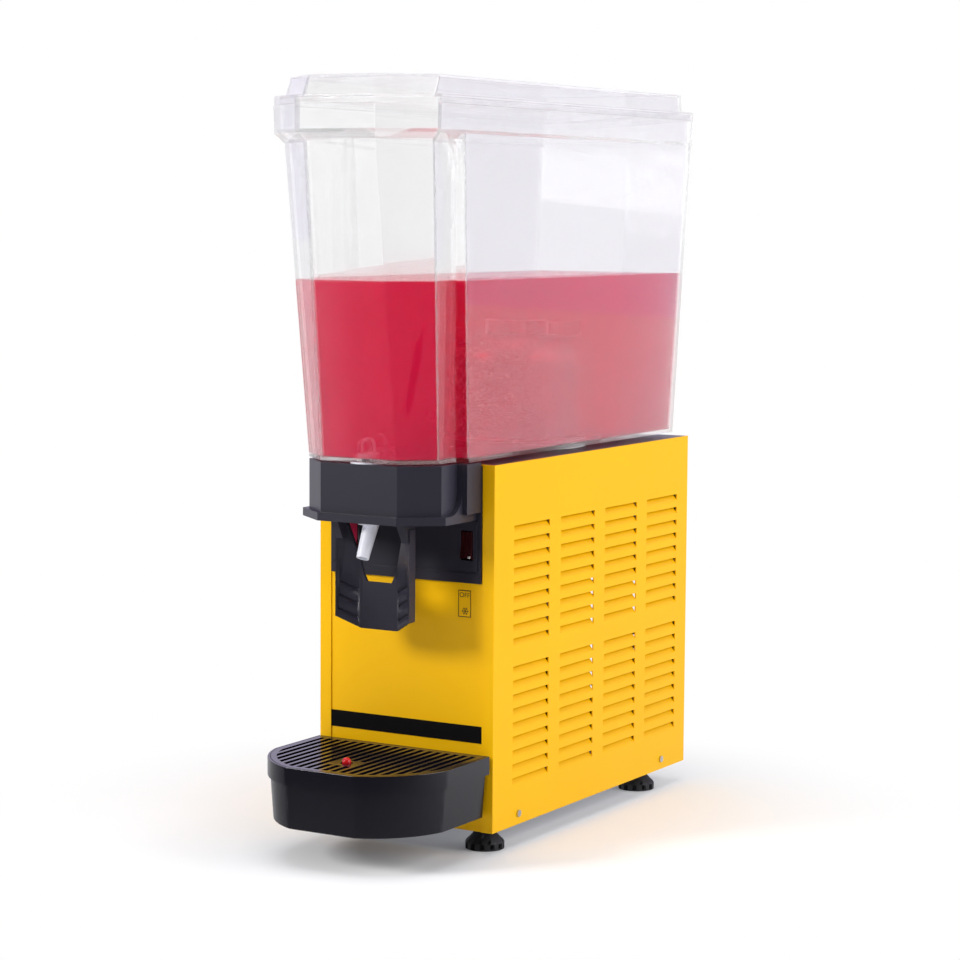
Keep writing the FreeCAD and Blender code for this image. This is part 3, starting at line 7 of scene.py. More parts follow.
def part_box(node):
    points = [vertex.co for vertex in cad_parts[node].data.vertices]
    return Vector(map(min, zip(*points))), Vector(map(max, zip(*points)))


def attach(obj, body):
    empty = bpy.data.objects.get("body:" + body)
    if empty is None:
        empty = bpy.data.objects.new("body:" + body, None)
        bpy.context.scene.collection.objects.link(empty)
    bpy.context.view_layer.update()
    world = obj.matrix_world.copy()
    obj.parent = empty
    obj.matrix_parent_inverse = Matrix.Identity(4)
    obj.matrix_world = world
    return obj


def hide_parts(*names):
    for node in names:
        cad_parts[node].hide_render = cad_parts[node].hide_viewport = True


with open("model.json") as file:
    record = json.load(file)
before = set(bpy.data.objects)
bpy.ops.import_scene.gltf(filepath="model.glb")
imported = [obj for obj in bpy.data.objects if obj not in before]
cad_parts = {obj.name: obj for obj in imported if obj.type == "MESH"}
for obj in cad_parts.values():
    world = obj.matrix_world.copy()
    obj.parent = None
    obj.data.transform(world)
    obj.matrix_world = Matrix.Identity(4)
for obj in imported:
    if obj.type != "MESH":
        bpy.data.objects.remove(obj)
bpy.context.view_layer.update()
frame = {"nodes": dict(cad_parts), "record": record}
nodes = frame["nodes"]
bodies = frame["record"]["behaviour"]["bodies"]
body_of = {node: body for body, members in bodies.items() for node in members}

# The studio: a white room, a big soft light from the front left, a softer one
# from the right, and the camera where the photograph was taken.
# The camera's place is measured from the housing's front lower edge.
panel_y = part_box("left_side_panel")[0].y
housing_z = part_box("left_side_panel")[0].z
CAMERA_PLACE = Vector((1.24108, panel_y - 1.965465, housing_z + 0.538981))
CAMERA_AZIMUTH = math.radians(30.673)
CAMERA_PITCH = math.radians(5.762)
CAMERA_ROLL = math.radians(0.371)
CAMERA_LENS = 100.155

forward = Vector((
    -math.sin(CAMERA_AZIMUTH) * math.cos(CAMERA_PITCH),
    math.cos(CAMERA_AZIMUTH) * math.cos(CAMERA_PITCH),
    -math.sin(CAMERA_PITCH),
))
level_right = Vector((math.cos(CAMERA_AZIMUTH), math.sin(CAMERA_AZIMUTH), 0))
level_up = level_right.cross(forward)
right = math.cos(CAMERA_ROLL) * level_right + math.sin(CAMERA_ROLL) * level_up
up = math.cos(CAMERA_ROLL) * level_up - math.sin(CAMERA_ROLL) * level_right
camera_data = bpy.data.cameras.new("Camera")
camera_data.lens = CAMERA_LENS
camera_data.sensor_width = 36
camera_data.clip_end = 50
camera = bpy.data.objects.new("Camera", camera_data)
bpy.context.collection.objects.link(camera)
camera.matrix_world = Matrix((
    (right.x, up.x, -forward.x, CAMERA_PLACE.x),
    (right.y, up.y, -forward.y, CAMERA_PLACE.y),
    (right.z, up.z, -forward.z, CAMERA_PLACE.z),
    (0, 0, 0, 1),
))
bpy.context.scene.camera = camera
bpy.context.scene.view_settings.view_transform = "Standard"


def colour(red, green, blue):
    """A colour given as it is seen, from 0 to 255, as linear light."""
    parts = []
    for value in (red, green, blue):
        share = value / 255
        parts.append(share / 12.92 if share <= 0.04045 else ((share + 0.055) / 1.055) ** 2.4)
    return (*parts, 1)


def soft_light(name, azimuth, elevation, distance, size, power, tint):
    """A square soft light that aims at the middle of the dispenser."""
    data = bpy.data.lights.new(name, "AREA")
    data.shape = "SQUARE"
    data.size = size
    data.energy = power
    data.color = tint
    lamp = bpy.data.objects.new(name, data)
    bpy.context.collection.objects.link(lamp)
    turn = math.radians(azimuth)
    rise = math.radians(elevation)
    aim = Vector((0, 0, 0.33))
    away = Vector((
        math.sin(turn) * math.cos(rise), -math.cos(turn) * math.cos(rise), math.sin(rise),
    ))
    lamp.location = aim + away * distance
    lamp.rotation_euler = away.to_track_quat("Z", "Y").to_euler()
    return lamp


soft_light("front_softbox", -34, 22, 2.4, 0.6, 35, (1.0, 0.99, 0.97))
soft_light("right_softbox", 98, 22, 2.4, 1.5, 35, (1.0, 0.99, 0.98))
soft_light("top_softbox", 20, 84, 2.2, 1.8, 26, (1.0, 1.0, 1.0))

world = bpy.data.worlds.new("White studio")
bpy.context.scene.world = world
world.use_nodes = True
tree = world.node_tree
tree.nodes.clear()
room = tree.nodes.new("ShaderNodeBackground")
room.inputs["Color"].default_value = (0.92, 0.94, 1.0, 1)
room.inputs["Strength"].default_value = 0.30
seen = tree.nodes.new("ShaderNodeBackground")
seen.inputs["Color"].default_value = (1, 1, 1, 1)
mirrored = tree.nodes.new("ShaderNodeBackground")
mirrored.inputs["Color"].default_value = (0.82, 0.75, 1.0, 1)
rays = tree.nodes.new("ShaderNodeLightPath")
# Straight and through the clear bowl the room is seen white, and this lights nothing
seen_straight = tree.nodes.new("ShaderNodeMath")
seen_straight.operation = "MAXIMUM"
not_lighting = tree.nodes.new("ShaderNodeMath")
not_lighting.operation = "SUBTRACT"
not_lighting.use_clamp = True
either = tree.nodes.new("ShaderNodeMixShader")
choice = tree.nodes.new("ShaderNodeMixShader")
direction = tree.nodes.new("ShaderNodeTexCoord")
parts = tree.nodes.new("ShaderNodeSeparateXYZ")
backdrop = tree.nodes.new("ShaderNodeMapRange")
backdrop.interpolation_type = "SMOOTHSTEP"
backdrop.inputs["From Min"].default_value = -0.35
backdrop.inputs["From Max"].default_value = 0.45
backdrop.inputs["To Min"].default_value = 0.03
backdrop.inputs["To Max"].default_value = 1.0
output = tree.nodes.new("ShaderNodeOutputWorld")
tree.links.new(direction.outputs["Generated"], parts.inputs["Vector"])
tree.links.new(parts.outputs["Y"], backdrop.inputs["Value"])
tree.links.new(backdrop.outputs["Result"], mirrored.inputs["Strength"])
tree.links.new(rays.outputs["Is Glossy Ray"], either.inputs[0])
tree.links.new(room.outputs[0], either.inputs[1])
tree.links.new(mirrored.outputs[0], either.inputs[2])
tree.links.new(rays.outputs["Is Camera Ray"], seen_straight.inputs[0])
tree.links.new(rays.outputs["Transmission Depth"], seen_straight.inputs[1])
tree.links.new(seen_straight.outputs[0], not_lighting.inputs[0])
tree.links.new(rays.outputs["Is Diffuse Ray"], not_lighting.inputs[1])
tree.links.new(not_lighting.outputs[0], choice.inputs[0])
tree.links.new(either.outputs[0], choice.inputs[1])
tree.links.new(seen.outputs[0], choice.inputs[2])
tree.links.new(choice.outputs[0], output.inputs[0])


def only(piece):
    """Makes one piece the only one that is selected."""
    bpy.ops.object.select_all(action="DESELECT")
    piece.select_set(True)
    bpy.context.view_layer.objects.active = piece


# The floor is a white sheet that fades into the white room, and keeps the soft
# shadows near the dispenser. In front, polished faces mirror it as dark as the room.
bpy.ops.object.select_all(action="DESELECT")
bpy.ops.mesh.primitive_plane_add(size=16, location=(0, 0, -0.0004))
floor = bpy.context.active_object
floor.name = "floor"
floor_paint = bpy.data.materials.new("white floor")
floor_paint.use_nodes = True
tree = floor_paint.node_tree
tree.nodes.clear()
matt = tree.nodes.new("ShaderNodeBsdfDiffuse")
matt.inputs["Color"].default_value = (0.92, 0.92, 0.94, 1)
lift = tree.nodes.new("ShaderNodeEmission")
lift.inputs["Color"].default_value = (0.97, 0.98, 1, 1)
lift.inputs["Strength"].default_value = 0.06
white = tree.nodes.new("ShaderNodeEmission")
white.inputs["Color"].default_value = (1, 1, 1, 1)
white.inputs["Strength"].default_value = 1.0
mirrored = tree.nodes.new("ShaderNodeEmission")
mirrored.inputs["Color"].default_value = (0.96, 0.96, 1, 1)
rays = tree.nodes.new("ShaderNodeLightPath")
place = tree.nodes.new("ShaderNodeTexCoord")
distance = tree.nodes.new("ShaderNodeVectorMath")
distance.operation = "LENGTH"
far = tree.nodes.new("ShaderNodeMapRange")
far.interpolation_type = "SMOOTHSTEP"
far.inputs["From Min"].default_value = 0.16
far.inputs["From Max"].default_value = 0.46
parts = tree.nodes.new("ShaderNodeSeparateXYZ")
front = tree.nodes.new("ShaderNodeMapRange")
front.interpolation_type = "SMOOTHSTEP"
front.inputs["From Min"].default_value = -0.7
front.inputs["From Max"].default_value = 0.4
front.inputs["To Min"].default_value = 0.03
front.inputs["To Max"].default_value = 0.95
seen_straight = tree.nodes.new("ShaderNodeMath")
seen_straight.operation = "MAXIMUM"
not_lighting = tree.nodes.new("ShaderNodeMath")
not_lighting.operation = "SUBTRACT"
not_lighting.use_clamp = True
near_floor = tree.nodes.new("ShaderNodeAddShader")
seen_floor = tree.nodes.new("ShaderNodeMixShader")
plain = tree.nodes.new("ShaderNodeMixShader")
choice = tree.nodes.new("ShaderNodeMixShader")
output = tree.nodes.new("ShaderNodeOutputMaterial")
tree.links.new(place.outputs["Object"], distance.inputs[0])
tree.links.new(distance.outputs["Value"], far.inputs["Value"])
tree.links.new(place.outputs["Object"], parts.inputs["Vector"])
tree.links.new(parts.outputs["Y"], front.inputs["Value"])
tree.links.new(front.outputs["Result"], mirrored.inputs["Strength"])
tree.links.new(matt.outputs[0], near_floor.inputs[0])
tree.links.new(lift.outputs[0], near_floor.inputs[1])
tree.links.new(far.outputs["Result"], seen_floor.inputs[0])
tree.links.new(near_floor.outputs[0], seen_floor.inputs[1])
tree.links.new(white.outputs[0], seen_floor.inputs[2])
tree.links.new(rays.outputs["Is Glossy Ray"], plain.inputs[0])
tree.links.new(matt.outputs[0], plain.inputs[1])
tree.links.new(mirrored.outputs[0], plain.inputs[2])
tree.links.new(rays.outputs["Is Camera Ray"], seen_straight.inputs[0])
tree.links.new(rays.outputs["Transmission Depth"], seen_straight.inputs[1])
tree.links.new(seen_straight.outputs[0], not_lighting.inputs[0])
tree.links.new(rays.outputs["Is Diffuse Ray"], not_lighting.inputs[1])
tree.links.new(not_lighting.outputs[0], choice.inputs[0])
tree.links.new(plain.outputs[0], choice.inputs[1])
tree.links.new(seen_floor.outputs[0], choice.inputs[2])
tree.links.new(choice.outputs[0], output.inputs[0])
floor.data.materials.append(floor_paint)


# The housing's sides and front are steel sheet with a yellow powder coat, which has
# a fine orange peel. The side sheets fold round the front and have pressed louvres.
YELLOW = (250, 190, 4)


def surface(
    name, tone, roughness, metallic=0.0, grain=900.0, bump=0.02, tone_change=0.04,
    rough_change=0.06, specular=0.5,
):
    """A finish whose colour, gloss and relief vary finely over the piece."""
    material = bpy.data.materials.new(name)
    material.use_nodes = True
    tree = material.node_tree
    shader = tree.nodes["Principled BSDF"]
    shader.inputs["Metallic"].default_value = metallic
    shader.inputs["Specular IOR Level"].default_value = specular
    place = tree.nodes.new("ShaderNodeTexCoord")
    broad = tree.nodes.new("ShaderNodeTexNoise")
    broad.inputs["Scale"].default_value = 14
    broad.inputs["Detail"].default_value = 3
    fine = tree.nodes.new("ShaderNodeTexNoise")
    fine.inputs["Scale"].default_value = grain
    fine.inputs["Detail"].default_value = 2
    tree.links.new(place.outputs["Object"], broad.inputs["Vector"])
    tree.links.new(place.outputs["Object"], fine.inputs["Vector"])
    tones = tree.nodes.new("ShaderNodeValToRGB")
    base = colour(*tone)
    tones.color_ramp.elements[0].position = 0.3
    tones.color_ramp.elements[1].position = 0.7
    darker = [part * (1 - tone_change) for part in base[:3]]
    lighter = [min(1, part * (1 + tone_change)) for part in base[:3]]
    tones.color_ramp.elements[0].color = (*darker, 1)
    tones.color_ramp.elements[1].color = (*lighter, 1)
    tree.links.new(broad.outputs["Fac"], tones.inputs["Fac"])
    tree.links.new(tones.outputs["Color"], shader.inputs["Base Color"])
    gloss = tree.nodes.new("ShaderNodeMapRange")
    gloss.inputs["To Min"].default_value = max(0.02, roughness - rough_change)
    gloss.inputs["To Max"].default_value = roughness + rough_change
    tree.links.new(fine.outputs["Fac"], gloss.inputs["Value"])
    tree.links.new(gloss.outputs["Result"], shader.inputs["Roughness"])
    relief = tree.nodes.new("ShaderNodeBump")
    relief.inputs["Strength"].default_value = bump
    relief.inputs["Distance"].default_value = 0.001
    tree.links.new(fine.outputs["Fac"], relief.inputs["Height"])
    tree.links.new(relief.outputs["Normal"], shader.inputs["Normal"])
    return material


def dress(material, *names):
    """Gives CAD pieces a finish."""
    for name in names:
        nodes[name].data.materials.clear()
        nodes[name].data.materials.append(material)


yellow_coat = surface(
    "yellow powder coat", YELLOW, 0.38, grain=700, bump=0.05, tone_change=0.015, specular=0.14,
)
dress(yellow_coat, "left_side_panel", "right_side_panel", "front_panel")


# The base, the back and the brackets inside are bare zinc plated sheet, as are the
# cans of the two motors. None of them is seen from the front.
zinc = surface(
    "zinc plate", (176, 178, 182), 0.42, metallic=0.9, grain=260, bump=0.02, tone_change=0.08,
)
dress(
    zinc, "base_pan", "rear_panel", "stirrer_bracket", "fan_shroud", "fan_bracket",
    "compressor_plate", "stirrer_motor", "fan_motor", "stirrer_magnet",
)

# All screws have stainless pan heads. The lever's pins and springs, the fan's shaft
# and the chilled dome in the bowl are stainless steel too.
stainless = surface("stainless steel", (196, 192, 186), 0.26, metallic=1.0, grain=420, bump=0.015)
dress(stainless, "side_screws", "rear_panel_screws", "cradle_screws", "lever_pivot_pins",
      "lever_springs", "fan_shaft", "cooling_dome")

# The feet are black rubber domes with moulded ribs round the skirt, under a stud
# that screws into the base.
black_rubber = surface("black rubber", (17, 17, 19), 0.62, grain=500, bump=0.08)
FOOT_RIBS = 12
FOOT_SKIRT = 0.0055
# Each step of the dome: how far it rises, and how wide it then is
FOOT_STEPS = (
    (0.0016, 0.95), (0.0024, 0.84), (0.0030, 0.80), (0.0030, 0.82), (0.0020, 0.90), (0.0017, 1.0),
)
STUD_WIDTH = 0.006
FOOT_RIB_SHARE = 0.05
TOP_RING = 0.0001
FOOT_ROUNDING = 0.0004


def settle(piece):
    """Puts a piece's place, turn and size into its mesh."""
    only(piece)
    bpy.ops.object.transform_apply(location=True, rotation=True, scale=True)


# Between faces that meet at less than this the shading is smooth
SMOOTH_ANGLE = 35
FLAT_WEIGHT = 90


def round_edges(piece, width, segments, angle=30):
    """Rounds the sharp edges of a piece and smooths its faces between them."""
    only(piece)
    bevel = piece.modifiers.new("Rounding", "BEVEL")
    bevel.width = width
    bevel.segments = segments
    bevel.limit_method = "ANGLE"
    bevel.angle_limit = math.radians(angle)
    bpy.ops.object.modifier_apply(modifier=bevel.name)
    bpy.ops.object.shade_smooth_by_angle(angle=math.radians(SMOOTH_ANGLE))
    flat = piece.modifiers.new("Flat faces", "WEIGHTED_NORMAL")
    flat.keep_sharp = True
    flat.weight = FLAT_WEIGHT
    bpy.ops.object.modifier_apply(modifier=flat.name)


def finish_piece(piece, material, body, slot_name, *replaced):
    """Gives a new piece its finish, its body and the CAD pieces that it stands for."""
    piece.data.materials.clear()
    piece.data.materials.append(material)
    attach(piece, body)
    if replaced:
        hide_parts(*replaced)


def ribbed_foot(name, body):
    """A domed foot whose skirt stands out in ribs between short grooves."""
    low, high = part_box(name)
    centre = (low + high) / 2
    radius = (high.x - low.x) / 2
    bpy.ops.object.select_all(action="DESELECT")
    bpy.ops.mesh.primitive_cylinder_add(
        vertices=4 * FOOT_RIBS, radius=radius * (1 - FOOT_RIB_SHARE), depth=FOOT_SKIRT,
        location=(centre.x, centre.y, low.z + FOOT_SKIRT / 2),
    )
    foot = bpy.context.active_object
    foot.name = f"{name}_ribbed"
    for face in foot.data.polygons:
        out = face.normal
        turn = math.degrees(math.atan2(out.y, out.x)) % (360 / FOOT_RIBS)
        face.select = abs(out.z) < 0.5 and turn < 180 / FOOT_RIBS
    bpy.ops.object.mode_set(mode="EDIT")
    bpy.ops.mesh.select_mode(type="FACE")
    bpy.ops.mesh.extrude_region_shrink_fatten(
        TRANSFORM_OT_shrink_fatten={"value": radius * FOOT_RIB_SHARE}
    )
    bpy.ops.object.mode_set(mode="OBJECT")
    for face in foot.data.polygons:
        face.select = face.normal.z > 0.9
    bpy.ops.object.mode_set(mode="EDIT")
    reached = low.z + FOOT_SKIRT
    half = radius
    for height, width in FOOT_STEPS:
        bpy.ops.mesh.extrude_region_move(TRANSFORM_OT_translate={"value": (0, 0, height)})
        bpy.ops.transform.resize(value=(width, width, 1), center_override=(centre.x, centre.y, 0))
        reached += height
        half *= width
    bpy.ops.mesh.extrude_region_move(TRANSFORM_OT_translate={"value": (0, 0, TOP_RING)})
    width = STUD_WIDTH / 2 / half
    bpy.ops.transform.resize(value=(width, width, 1), center_override=(centre.x, centre.y, 0))
    bpy.ops.mesh.extrude_region_move(
        TRANSFORM_OT_translate={"value": (0, 0, high.z - reached - TOP_RING)}
    )
    bpy.ops.object.mode_set(mode="OBJECT")
    settle(foot)
    for vertex in foot.data.vertices:
        vertex.co.z = max(vertex.co.z, low.z)
    round_edges(foot, FOOT_ROUNDING, 2)
    finish_piece(foot, black_rubber, body, "rubber_black", name)
    return foot


for foot_name in ("front_left_foot", "front_right_foot", "rear_left_foot", "rear_right_foot"):
    ribbed_foot(foot_name, body_of[foot_name])


# The black mouldings are satin ABS with a fine spark texture, the drip tray and its
# grid are polished, and the strip is a dull film. Each moulding is the CAD piece with
# the rounded edges that a moulding has.
black_abs = surface(
    "black moulded plastic", (44, 42, 54), 0.40, grain=1500, bump=0.02, rough_change=0.04,
)
black_gloss = surface(
    "black polished plastic", (19, 18, 26), 0.20, grain=60, bump=0.0, rough_change=0.03,
)
black_strip = surface("black strip", (8, 6, 8), 0.45, grain=60, bump=0.0, specular=0.15)


MERGE_DISTANCE = 0.00001
FLAT_ANGLE = 0.4


def rounded_copy(node, width, segments=2, angle=30):
    """A copy of a CAD piece, merged and with rounded edges."""
    source = nodes[node]
    piece = source.copy()
    piece.data = source.data.copy()
    piece.name = f"{node}_rounded"
    piece.parent = None
    piece.matrix_world = Matrix.Identity(4)
    bpy.context.collection.objects.link(piece)
    piece.hide_render = False
    piece.hide_viewport = False
    only(piece)
    bpy.ops.mesh.customdata_custom_splitnormals_clear()
    bpy.ops.object.mode_set(mode="EDIT")
    bpy.ops.mesh.select_all(action="SELECT")
    bpy.ops.mesh.remove_doubles(threshold=MERGE_DISTANCE)
    bpy.ops.mesh.dissolve_limited(angle_limit=math.radians(FLAT_ANGLE))
    bpy.ops.object.mode_set(mode="OBJECT")
    round_edges(piece, width, segments, angle)
    return piece


for node, width in (
    ("control_plate", 0.0009),
    ("left_switch_bezel", 0.0006),
    ("right_switch_bezel", 0.0006),
    ("bowl_cradle", 0.0010),
    ("push_lever", 0.0011),
    ("drip_tray", 0.0010),
    ("drip_grid", 0.0005),
    ("thermostat_knob", 0.0008),
):
    piece = rounded_copy(node, width)
    black = black_gloss if node in ("drip_tray", "drip_grid") else black_abs
    finish_piece(piece, black, body_of[node], "black_plastic", node)

dress(black_strip, "name_strip")
dress(black_abs, "deck", "fan_blades")


# The lever's two wings each have three slanting finger grooves that end at the
# crease beside the flat middle facet.
LEVER_CREASE = (0.0185, -0.0430)
LEVER_WING_END = (0.0380, -0.0540)
GROOVES = (
    ((0.0345, 0.2186), (0.0200, 0.2118)),
    ((0.0352, 0.2072), (0.0207, 0.1995)),
    ((0.0362, 0.1948), (0.0206, 0.1872)),
)
GROOVE_WIDTH = 0.0018
GROOVE_DEPTH = 0.0014
GROOVE_ROUNDING_SHARE = 0.4


def cut_grooves(lever):
    """Cuts the finger grooves of both wings."""
    run = LEVER_WING_END[0] - LEVER_CREASE[0]
    rise = LEVER_WING_END[1] - LEVER_CREASE[1]
    for side in (-1, 1):
        outward = Vector((side * rise, -run, 0)).normalized()
        for groove in GROOVES:
            ends = []
            for x, z in groove:
                y = LEVER_CREASE[1] + (x - LEVER_CREASE[0]) * rise / run
                ends.append(Vector((side * x, panel_y + y, housing_z + z)))
            along = (ends[1] - ends[0]).normalized()
            across = along.cross(outward)
            middle = (ends[0] + ends[1]) / 2
            bpy.ops.object.select_all(action="DESELECT")
            bpy.ops.mesh.primitive_cube_add(size=1)
            cutter = bpy.context.active_object
            length = (ends[1] - ends[0]).length
            turn = Matrix((along, outward, across)).transposed().to_4x4()
            cutter.matrix_world = (
                Matrix.Translation(middle) @ turn
                @ Matrix.Diagonal((length, 2 * GROOVE_DEPTH, GROOVE_WIDTH, 1))
            )
            settle(cutter)
            round_edges(cutter, GROOVE_WIDTH * GROOVE_ROUNDING_SHARE, 3)
            only(lever)
            groove_cut = lever.modifiers.new("Groove", "BOOLEAN")
            groove_cut.operation = "DIFFERENCE"
            groove_cut.solver = "EXACT"
            groove_cut.object = cutter
            bpy.ops.object.modifier_apply(modifier=groove_cut.name)
            bpy.data.objects.remove(cutter, do_unlink=True)


cut_grooves(bpy.data.objects["push_lever_rounded"])

# The label beside the tap is printed in brown on the yellow: a frame, the word for
# the switch's rest position and a plain snowflake.
dress(yellow_coat, "switch_label")
brown_ink = surface("brown ink", (74, 46, 14), 0.5, grain=500, bump=0.01)
label_low, label_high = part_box("switch_label")
label_middle = (label_low + label_high) / 2
INK = 0.00006
FRAME_LINE = 0.0007
SNOWFLAKE_REACH = 0.0034
SNOWFLAKE_LINE = 0.0006
SNOWFLAKE_PLACE = (0.0006, 0.0052)
BARB_PLACE = 0.72
BARB_LENGTH = 0.6
WORD_SIZE = 0.0060
WORD_DROP = 0.0062


def ink_bar(name, middle, size, turn=0):
    """One printed line, turned in the plane of the label."""
    bpy.ops.object.select_all(action="DESELECT")
    bpy.ops.mesh.primitive_cube_add(size=1)
    bar = bpy.context.active_object
    bar.name = name
    bar.matrix_world = (
        Matrix.Translation((middle[0], label_low.y - INK / 2, middle[1]))
        @ Matrix.Rotation(turn, 4, "Y")
        @ Matrix.Diagonal((size[0], INK, size[1], 1))
    )
    settle(bar)
    return bar


width = label_high.x - label_low.x
height = label_high.z - label_low.z
bars = []
for end in (label_low.z + FRAME_LINE / 2, label_high.z - FRAME_LINE / 2):
    bars.append(ink_bar("frame", (label_middle.x, end), (width, FRAME_LINE)))
for end in (label_low.x + FRAME_LINE / 2, label_high.x - FRAME_LINE / 2):
    bars.append(ink_bar("frame", (end, label_middle.z), (FRAME_LINE, height - 2 * FRAME_LINE)))
flake = Vector((label_middle.x, label_low.z)) + Vector(SNOWFLAKE_PLACE)
for step in range(3):
    turn = math.radians(60 * step)
    bars.append(ink_bar("flake", flake, (2 * SNOWFLAKE_REACH, SNOWFLAKE_LINE), turn))
for step in range(6):
    turn = math.radians(60 * step)
    tip = flake + Vector((math.cos(turn), -math.sin(turn))) * SNOWFLAKE_REACH * BARB_PLACE
    bars.append(ink_bar("barb", tip, (SNOWFLAKE_LINE, SNOWFLAKE_REACH * BARB_LENGTH), turn))
bpy.ops.object.select_all(action="DESELECT")
bpy.ops.object.text_add(
    location=(label_middle.x, label_low.y - INK / 2, label_high.z - WORD_DROP),
    rotation=(math.radians(90), 0, 0),
)
word = bpy.context.active_object
word.name = "word"
word.data.body = "OFF"
word.data.size = WORD_SIZE
word.data.align_x = "CENTER"
word.data.extrude = INK / 2
bpy.ops.object.convert(target="MESH")
word = bpy.context.active_object
settle(word)
bpy.ops.object.select_all(action="DESELECT")
for bar in bars:
    bar.select_set(True)
word.select_set(True)
bpy.context.view_layer.objects.active = word
bpy.ops.object.join()
word.name = "label_print"
finish_piece(word, brown_ink, body_of["switch_label"], "label_film")

# The float's button is glossy red. The rockers have see-through red lenses: the left one is
# painted a lighter red as a painted glow, with no light of its own, and the right one is nearly
# black.
red_gloss = surface("red moulded plastic", (205, 24, 30), 0.2, grain=600, bump=0.01)
# Painted glow: the left lens's lighter red stands in for the light of its lamp
red_lens = surface("red lens with painted glow", (134, 20, 48), 0.12, grain=600, bump=0.01)
dark_lens = surface("dark lens", (44, 10, 12), 0.12, grain=600, bump=0.01)
ROCKER_ROUNDING = 0.0006
FLOAT_ROUNDING = 0.0003
for node, lens in (("left_rocker", red_lens), ("right_rocker", dark_lens)):
    piece = rounded_copy(node, ROCKER_ROUNDING)
    finish_piece(piece, lens, body_of[node], "red_lens", node)
piece = rounded_copy("level_float", FLOAT_ROUNDING)
finish_piece(piece, red_gloss, body_of["level_float"], "red_lens", "level_float")


# The tap's chute, the plunger and the stirrer are moulded from white acetal. The
# seals are pale silicone.
white_acetal = surface("white acetal", (226, 227, 236), 0.35, grain=400, bump=0.02)
ACETAL_ROUNDING = 0.0006
for node in ("tap_nozzle", "valve_plunger", "stirrer_impeller"):
    piece = rounded_copy(node, ACETAL_ROUNDING)
    finish_piece(piece, white_acetal, body_of[node], "white_plastic", node)
silicone = surface("pale silicone", (214, 214, 214), 0.5, grain=400, bump=0.03)
dress(silicone, "tank_gasket", "spigot_seal", "valve_seal")

# Inside are the black compressor on rubber grommets, drawn copper pipes and an
# aluminium condenser. They are seen only through the louvres.
enamel = surface("black enamel", (14, 14, 15), 0.3, grain=300, bump=0.03)
dress(enamel, "compressor")
dress(black_rubber, "compressor_grommets", "cord_gland")
copper = surface("drawn copper", (196, 122, 84), 0.3, metallic=1.0, grain=500, bump=0.01)
dress(copper, "filter_drier", "hot_pipe", "liquid_pipe", "suction_pipe")
fins = surface("aluminium fins", (186, 188, 192), 0.4, metallic=0.9, grain=300, bump=0.05)
dress(fins, "condenser")
dress(white_acetal, "thermostat_body")


# The bowl and its lid are moulded from clear polycarbonate with a cool cast.
CLEARNESS = 0.45
BENDING = 1.44
GLASS_ROUNDING = 0.0009


def clear_plastic(name, tint, roughness):
    """Clear plastic that bends light but lets it through to what stands behind."""
    material = bpy.data.materials.new(name)
    material.use_nodes = True
    tree = material.node_tree
    shader = tree.nodes["Principled BSDF"]
    shader.inputs["Base Color"].default_value = tint
    shader.inputs["Roughness"].default_value = roughness
    shader.inputs["IOR"].default_value = BENDING
    shader.inputs["Transmission Weight"].default_value = 1.0
    place = tree.nodes.new("ShaderNodeTexCoord")
    ripple = tree.nodes.new("ShaderNodeTexNoise")
    ripple.inputs["Scale"].default_value = 22
    ripple.inputs["Detail"].default_value = 1
    relief = tree.nodes.new("ShaderNodeBump")
    relief.inputs["Strength"].default_value = 0.02
    relief.inputs["Distance"].default_value = 0.001
    tree.links.new(place.outputs["Object"], ripple.inputs["Vector"])
    tree.links.new(ripple.outputs["Fac"], relief.inputs["Height"])
    tree.links.new(relief.outputs["Normal"], shader.inputs["Normal"])
    rays = tree.nodes.new("ShaderNodeLightPath")
    clear = tree.nodes.new("ShaderNodeBsdfTransparent")
    clear.inputs["Color"].default_value = (1, 1, 1, 1)
    choice = tree.nodes.new("ShaderNodeMixShader")
    thinner = tree.nodes.new("ShaderNodeMixShader")
    thinner.inputs[0].default_value = CLEARNESS
    output = tree.nodes["Material Output"]
    shadow_or_fill = tree.nodes.new("ShaderNodeMath")
    shadow_or_fill.operation = "MAXIMUM"
    tree.links.new(rays.outputs["Is Shadow Ray"], shadow_or_fill.inputs[0])
    tree.links.new(rays.outputs["Is Diffuse Ray"], shadow_or_fill.inputs[1])
    tree.links.new(shadow_or_fill.outputs[0], choice.inputs[0])
    tree.links.new(shader.outputs[0], thinner.inputs[1])
    tree.links.new(clear.outputs[0], thinner.inputs[2])
    tree.links.new(thinner.outputs[0], choice.inputs[1])
    tree.links.new(clear.outputs[0], choice.inputs[2])
    tree.links.new(choice.outputs[0], output.inputs["Surface"])
    return material


polycarbonate = clear_plastic("clear polycarbonate", (0.995, 0.995, 1.0, 1), 0.0)
for node in ("tank", "lid"):
    piece = rounded_copy(node, GLASS_ROUNDING, 3)
    finish_piece(piece, polycarbonate, body_of[node], "clear_plastic", node)


# The drink fills the bowl to below half its height. It is a cloudy red fruit drink,
# so light goes a little way into it and no further.
DRINK_LEVEL = 0.480
TANK_FLOOR = 0.3285
TANK_LOW = 0.3255
TANK_HIGH = 0.603
FILM = 0.0003
TANK_WALL = 0.003
# The bowl's outside at its floor and at its shoulder: half widths, and how far back
# from the housing's front its corners lie, negative before it
FRONT_HALF = (0.0383, 0.0355)
FRONT = (-0.0768, -0.1070)
NOSE_HALF = (0.0664, 0.0756)
CORNER = (-0.0522, -0.0770)
STEP = (-0.0252, -0.0411)
MAIN_HALF = (0.0793, 0.0834)
REAR = (0.3597, 0.3833)
OUTLINE_CORNERS = 10
LEVEL_ROUNDING = 0.0012


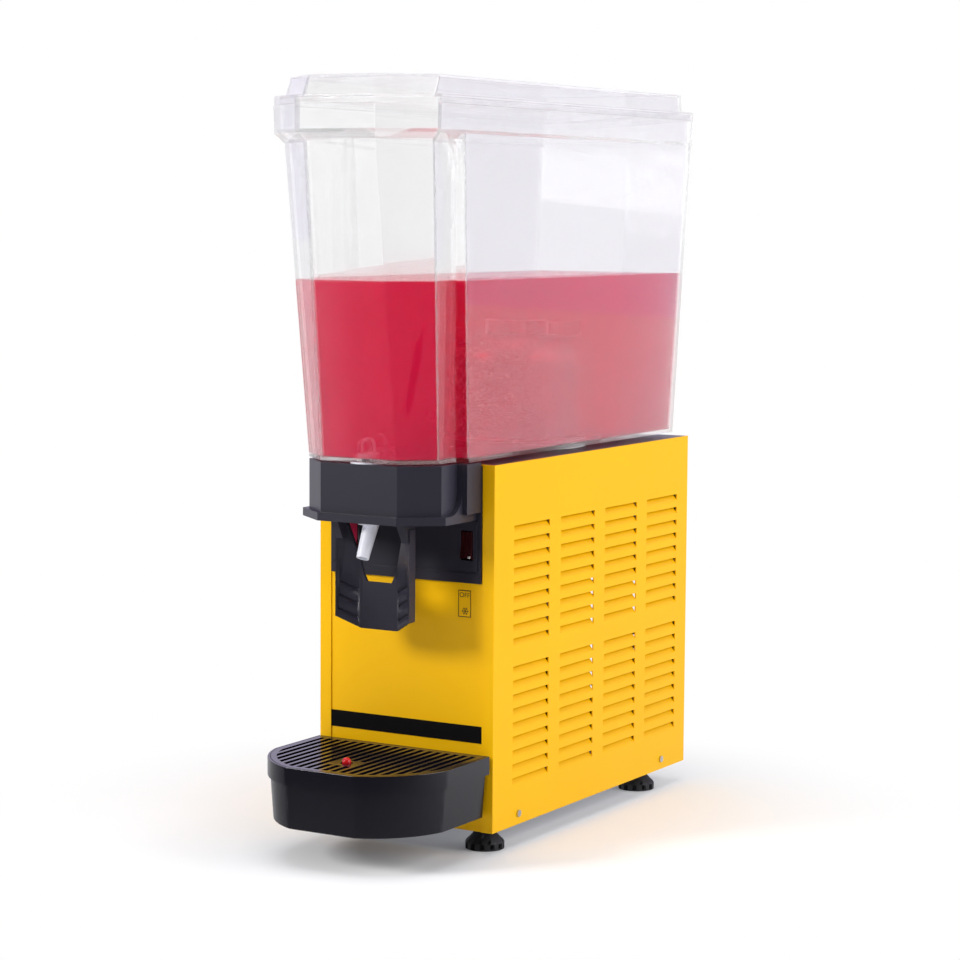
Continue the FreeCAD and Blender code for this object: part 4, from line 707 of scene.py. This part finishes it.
def drink_outline(z):
    """The inside of the bowl at one height, from its front right corner round."""
    share = (z - TANK_LOW) / (TANK_HIGH - TANK_LOW)

    def between(ends):
        return ends[0] + (ends[1] - ends[0]) * share

    wall = TANK_WALL + FILM
    front_half = between(FRONT_HALF) - wall / 2
    front = between(FRONT) + wall
    nose = between(NOSE_HALF) - wall
    corner = between(CORNER) + wall / 2
    step = between(STEP) + wall
    half = between(MAIN_HALF) - wall
    rear = between(REAR) - wall
    right_side = [(front_half, front), (nose, corner), (nose, step), (half, step), (half, rear)]
    left_side = [(-x, y) for x, y in reversed(right_side)]
    return [Vector((x, panel_y + y, housing_z + z)) for x, y in right_side + left_side]


bpy.ops.object.select_all(action="DESELECT")
bpy.ops.mesh.primitive_circle_add(vertices=OUTLINE_CORNERS, fill_type="NGON")
drink = bpy.context.active_object
drink.name = "drink"
floor_ring = drink_outline(TANK_FLOOR + FILM)
level_ring = drink_outline(DRINK_LEVEL)
for vertex, place in zip(drink.data.vertices, floor_ring):
    vertex.co = place
bpy.ops.object.mode_set(mode="EDIT")
bpy.ops.mesh.select_all(action="SELECT")
bpy.ops.mesh.extrude_region_move(
    TRANSFORM_OT_translate={"value": (0, 0, level_ring[0].z - floor_ring[0].z)}
)
bpy.ops.object.mode_set(mode="OBJECT")
for vertex in drink.data.vertices:
    if vertex.co.z > level_ring[0].z - 0.001:
        nearest = min(
            range(OUTLINE_CORNERS), key=lambda i: (floor_ring[i].xy - vertex.co.xy).length,
        )
        vertex.co = level_ring[nearest]
bpy.ops.object.mode_set(mode="EDIT")
bpy.ops.mesh.select_all(action="SELECT")
bpy.ops.mesh.normals_make_consistent(inside=False)
bpy.ops.object.mode_set(mode="OBJECT")
round_edges(drink, LEVEL_ROUNDING, 2)
fruit_drink = surface(
    "red fruit drink", (186, 4, 62), 0.16, grain=90, bump=0.0, tone_change=0.08, specular=0.1,
)
tree = fruit_drink.node_tree
shader = tree.nodes["Principled BSDF"]
through = tree.nodes.new("ShaderNodeBsdfTransparent")
cloudy = tree.nodes.new("ShaderNodeMixShader")
cloudy.inputs[0].default_value = 0.46
dye = tree.nodes.new("ShaderNodeVolumeAbsorption")
dye.inputs["Color"].default_value = (0.97, 0.03, 0.16, 1)
dye.inputs["Density"].default_value = 18
output = tree.nodes["Material Output"]
tree.links.new(shader.outputs[0], cloudy.inputs[1])
tree.links.new(through.outputs[0], cloudy.inputs[2])
tree.links.new(cloudy.outputs[0], output.inputs["Surface"])
tree.links.new(dye.outputs[0], output.inputs["Volume"])
finish_piece(drink, fruit_drink, body_of["tank"], "clear_plastic")
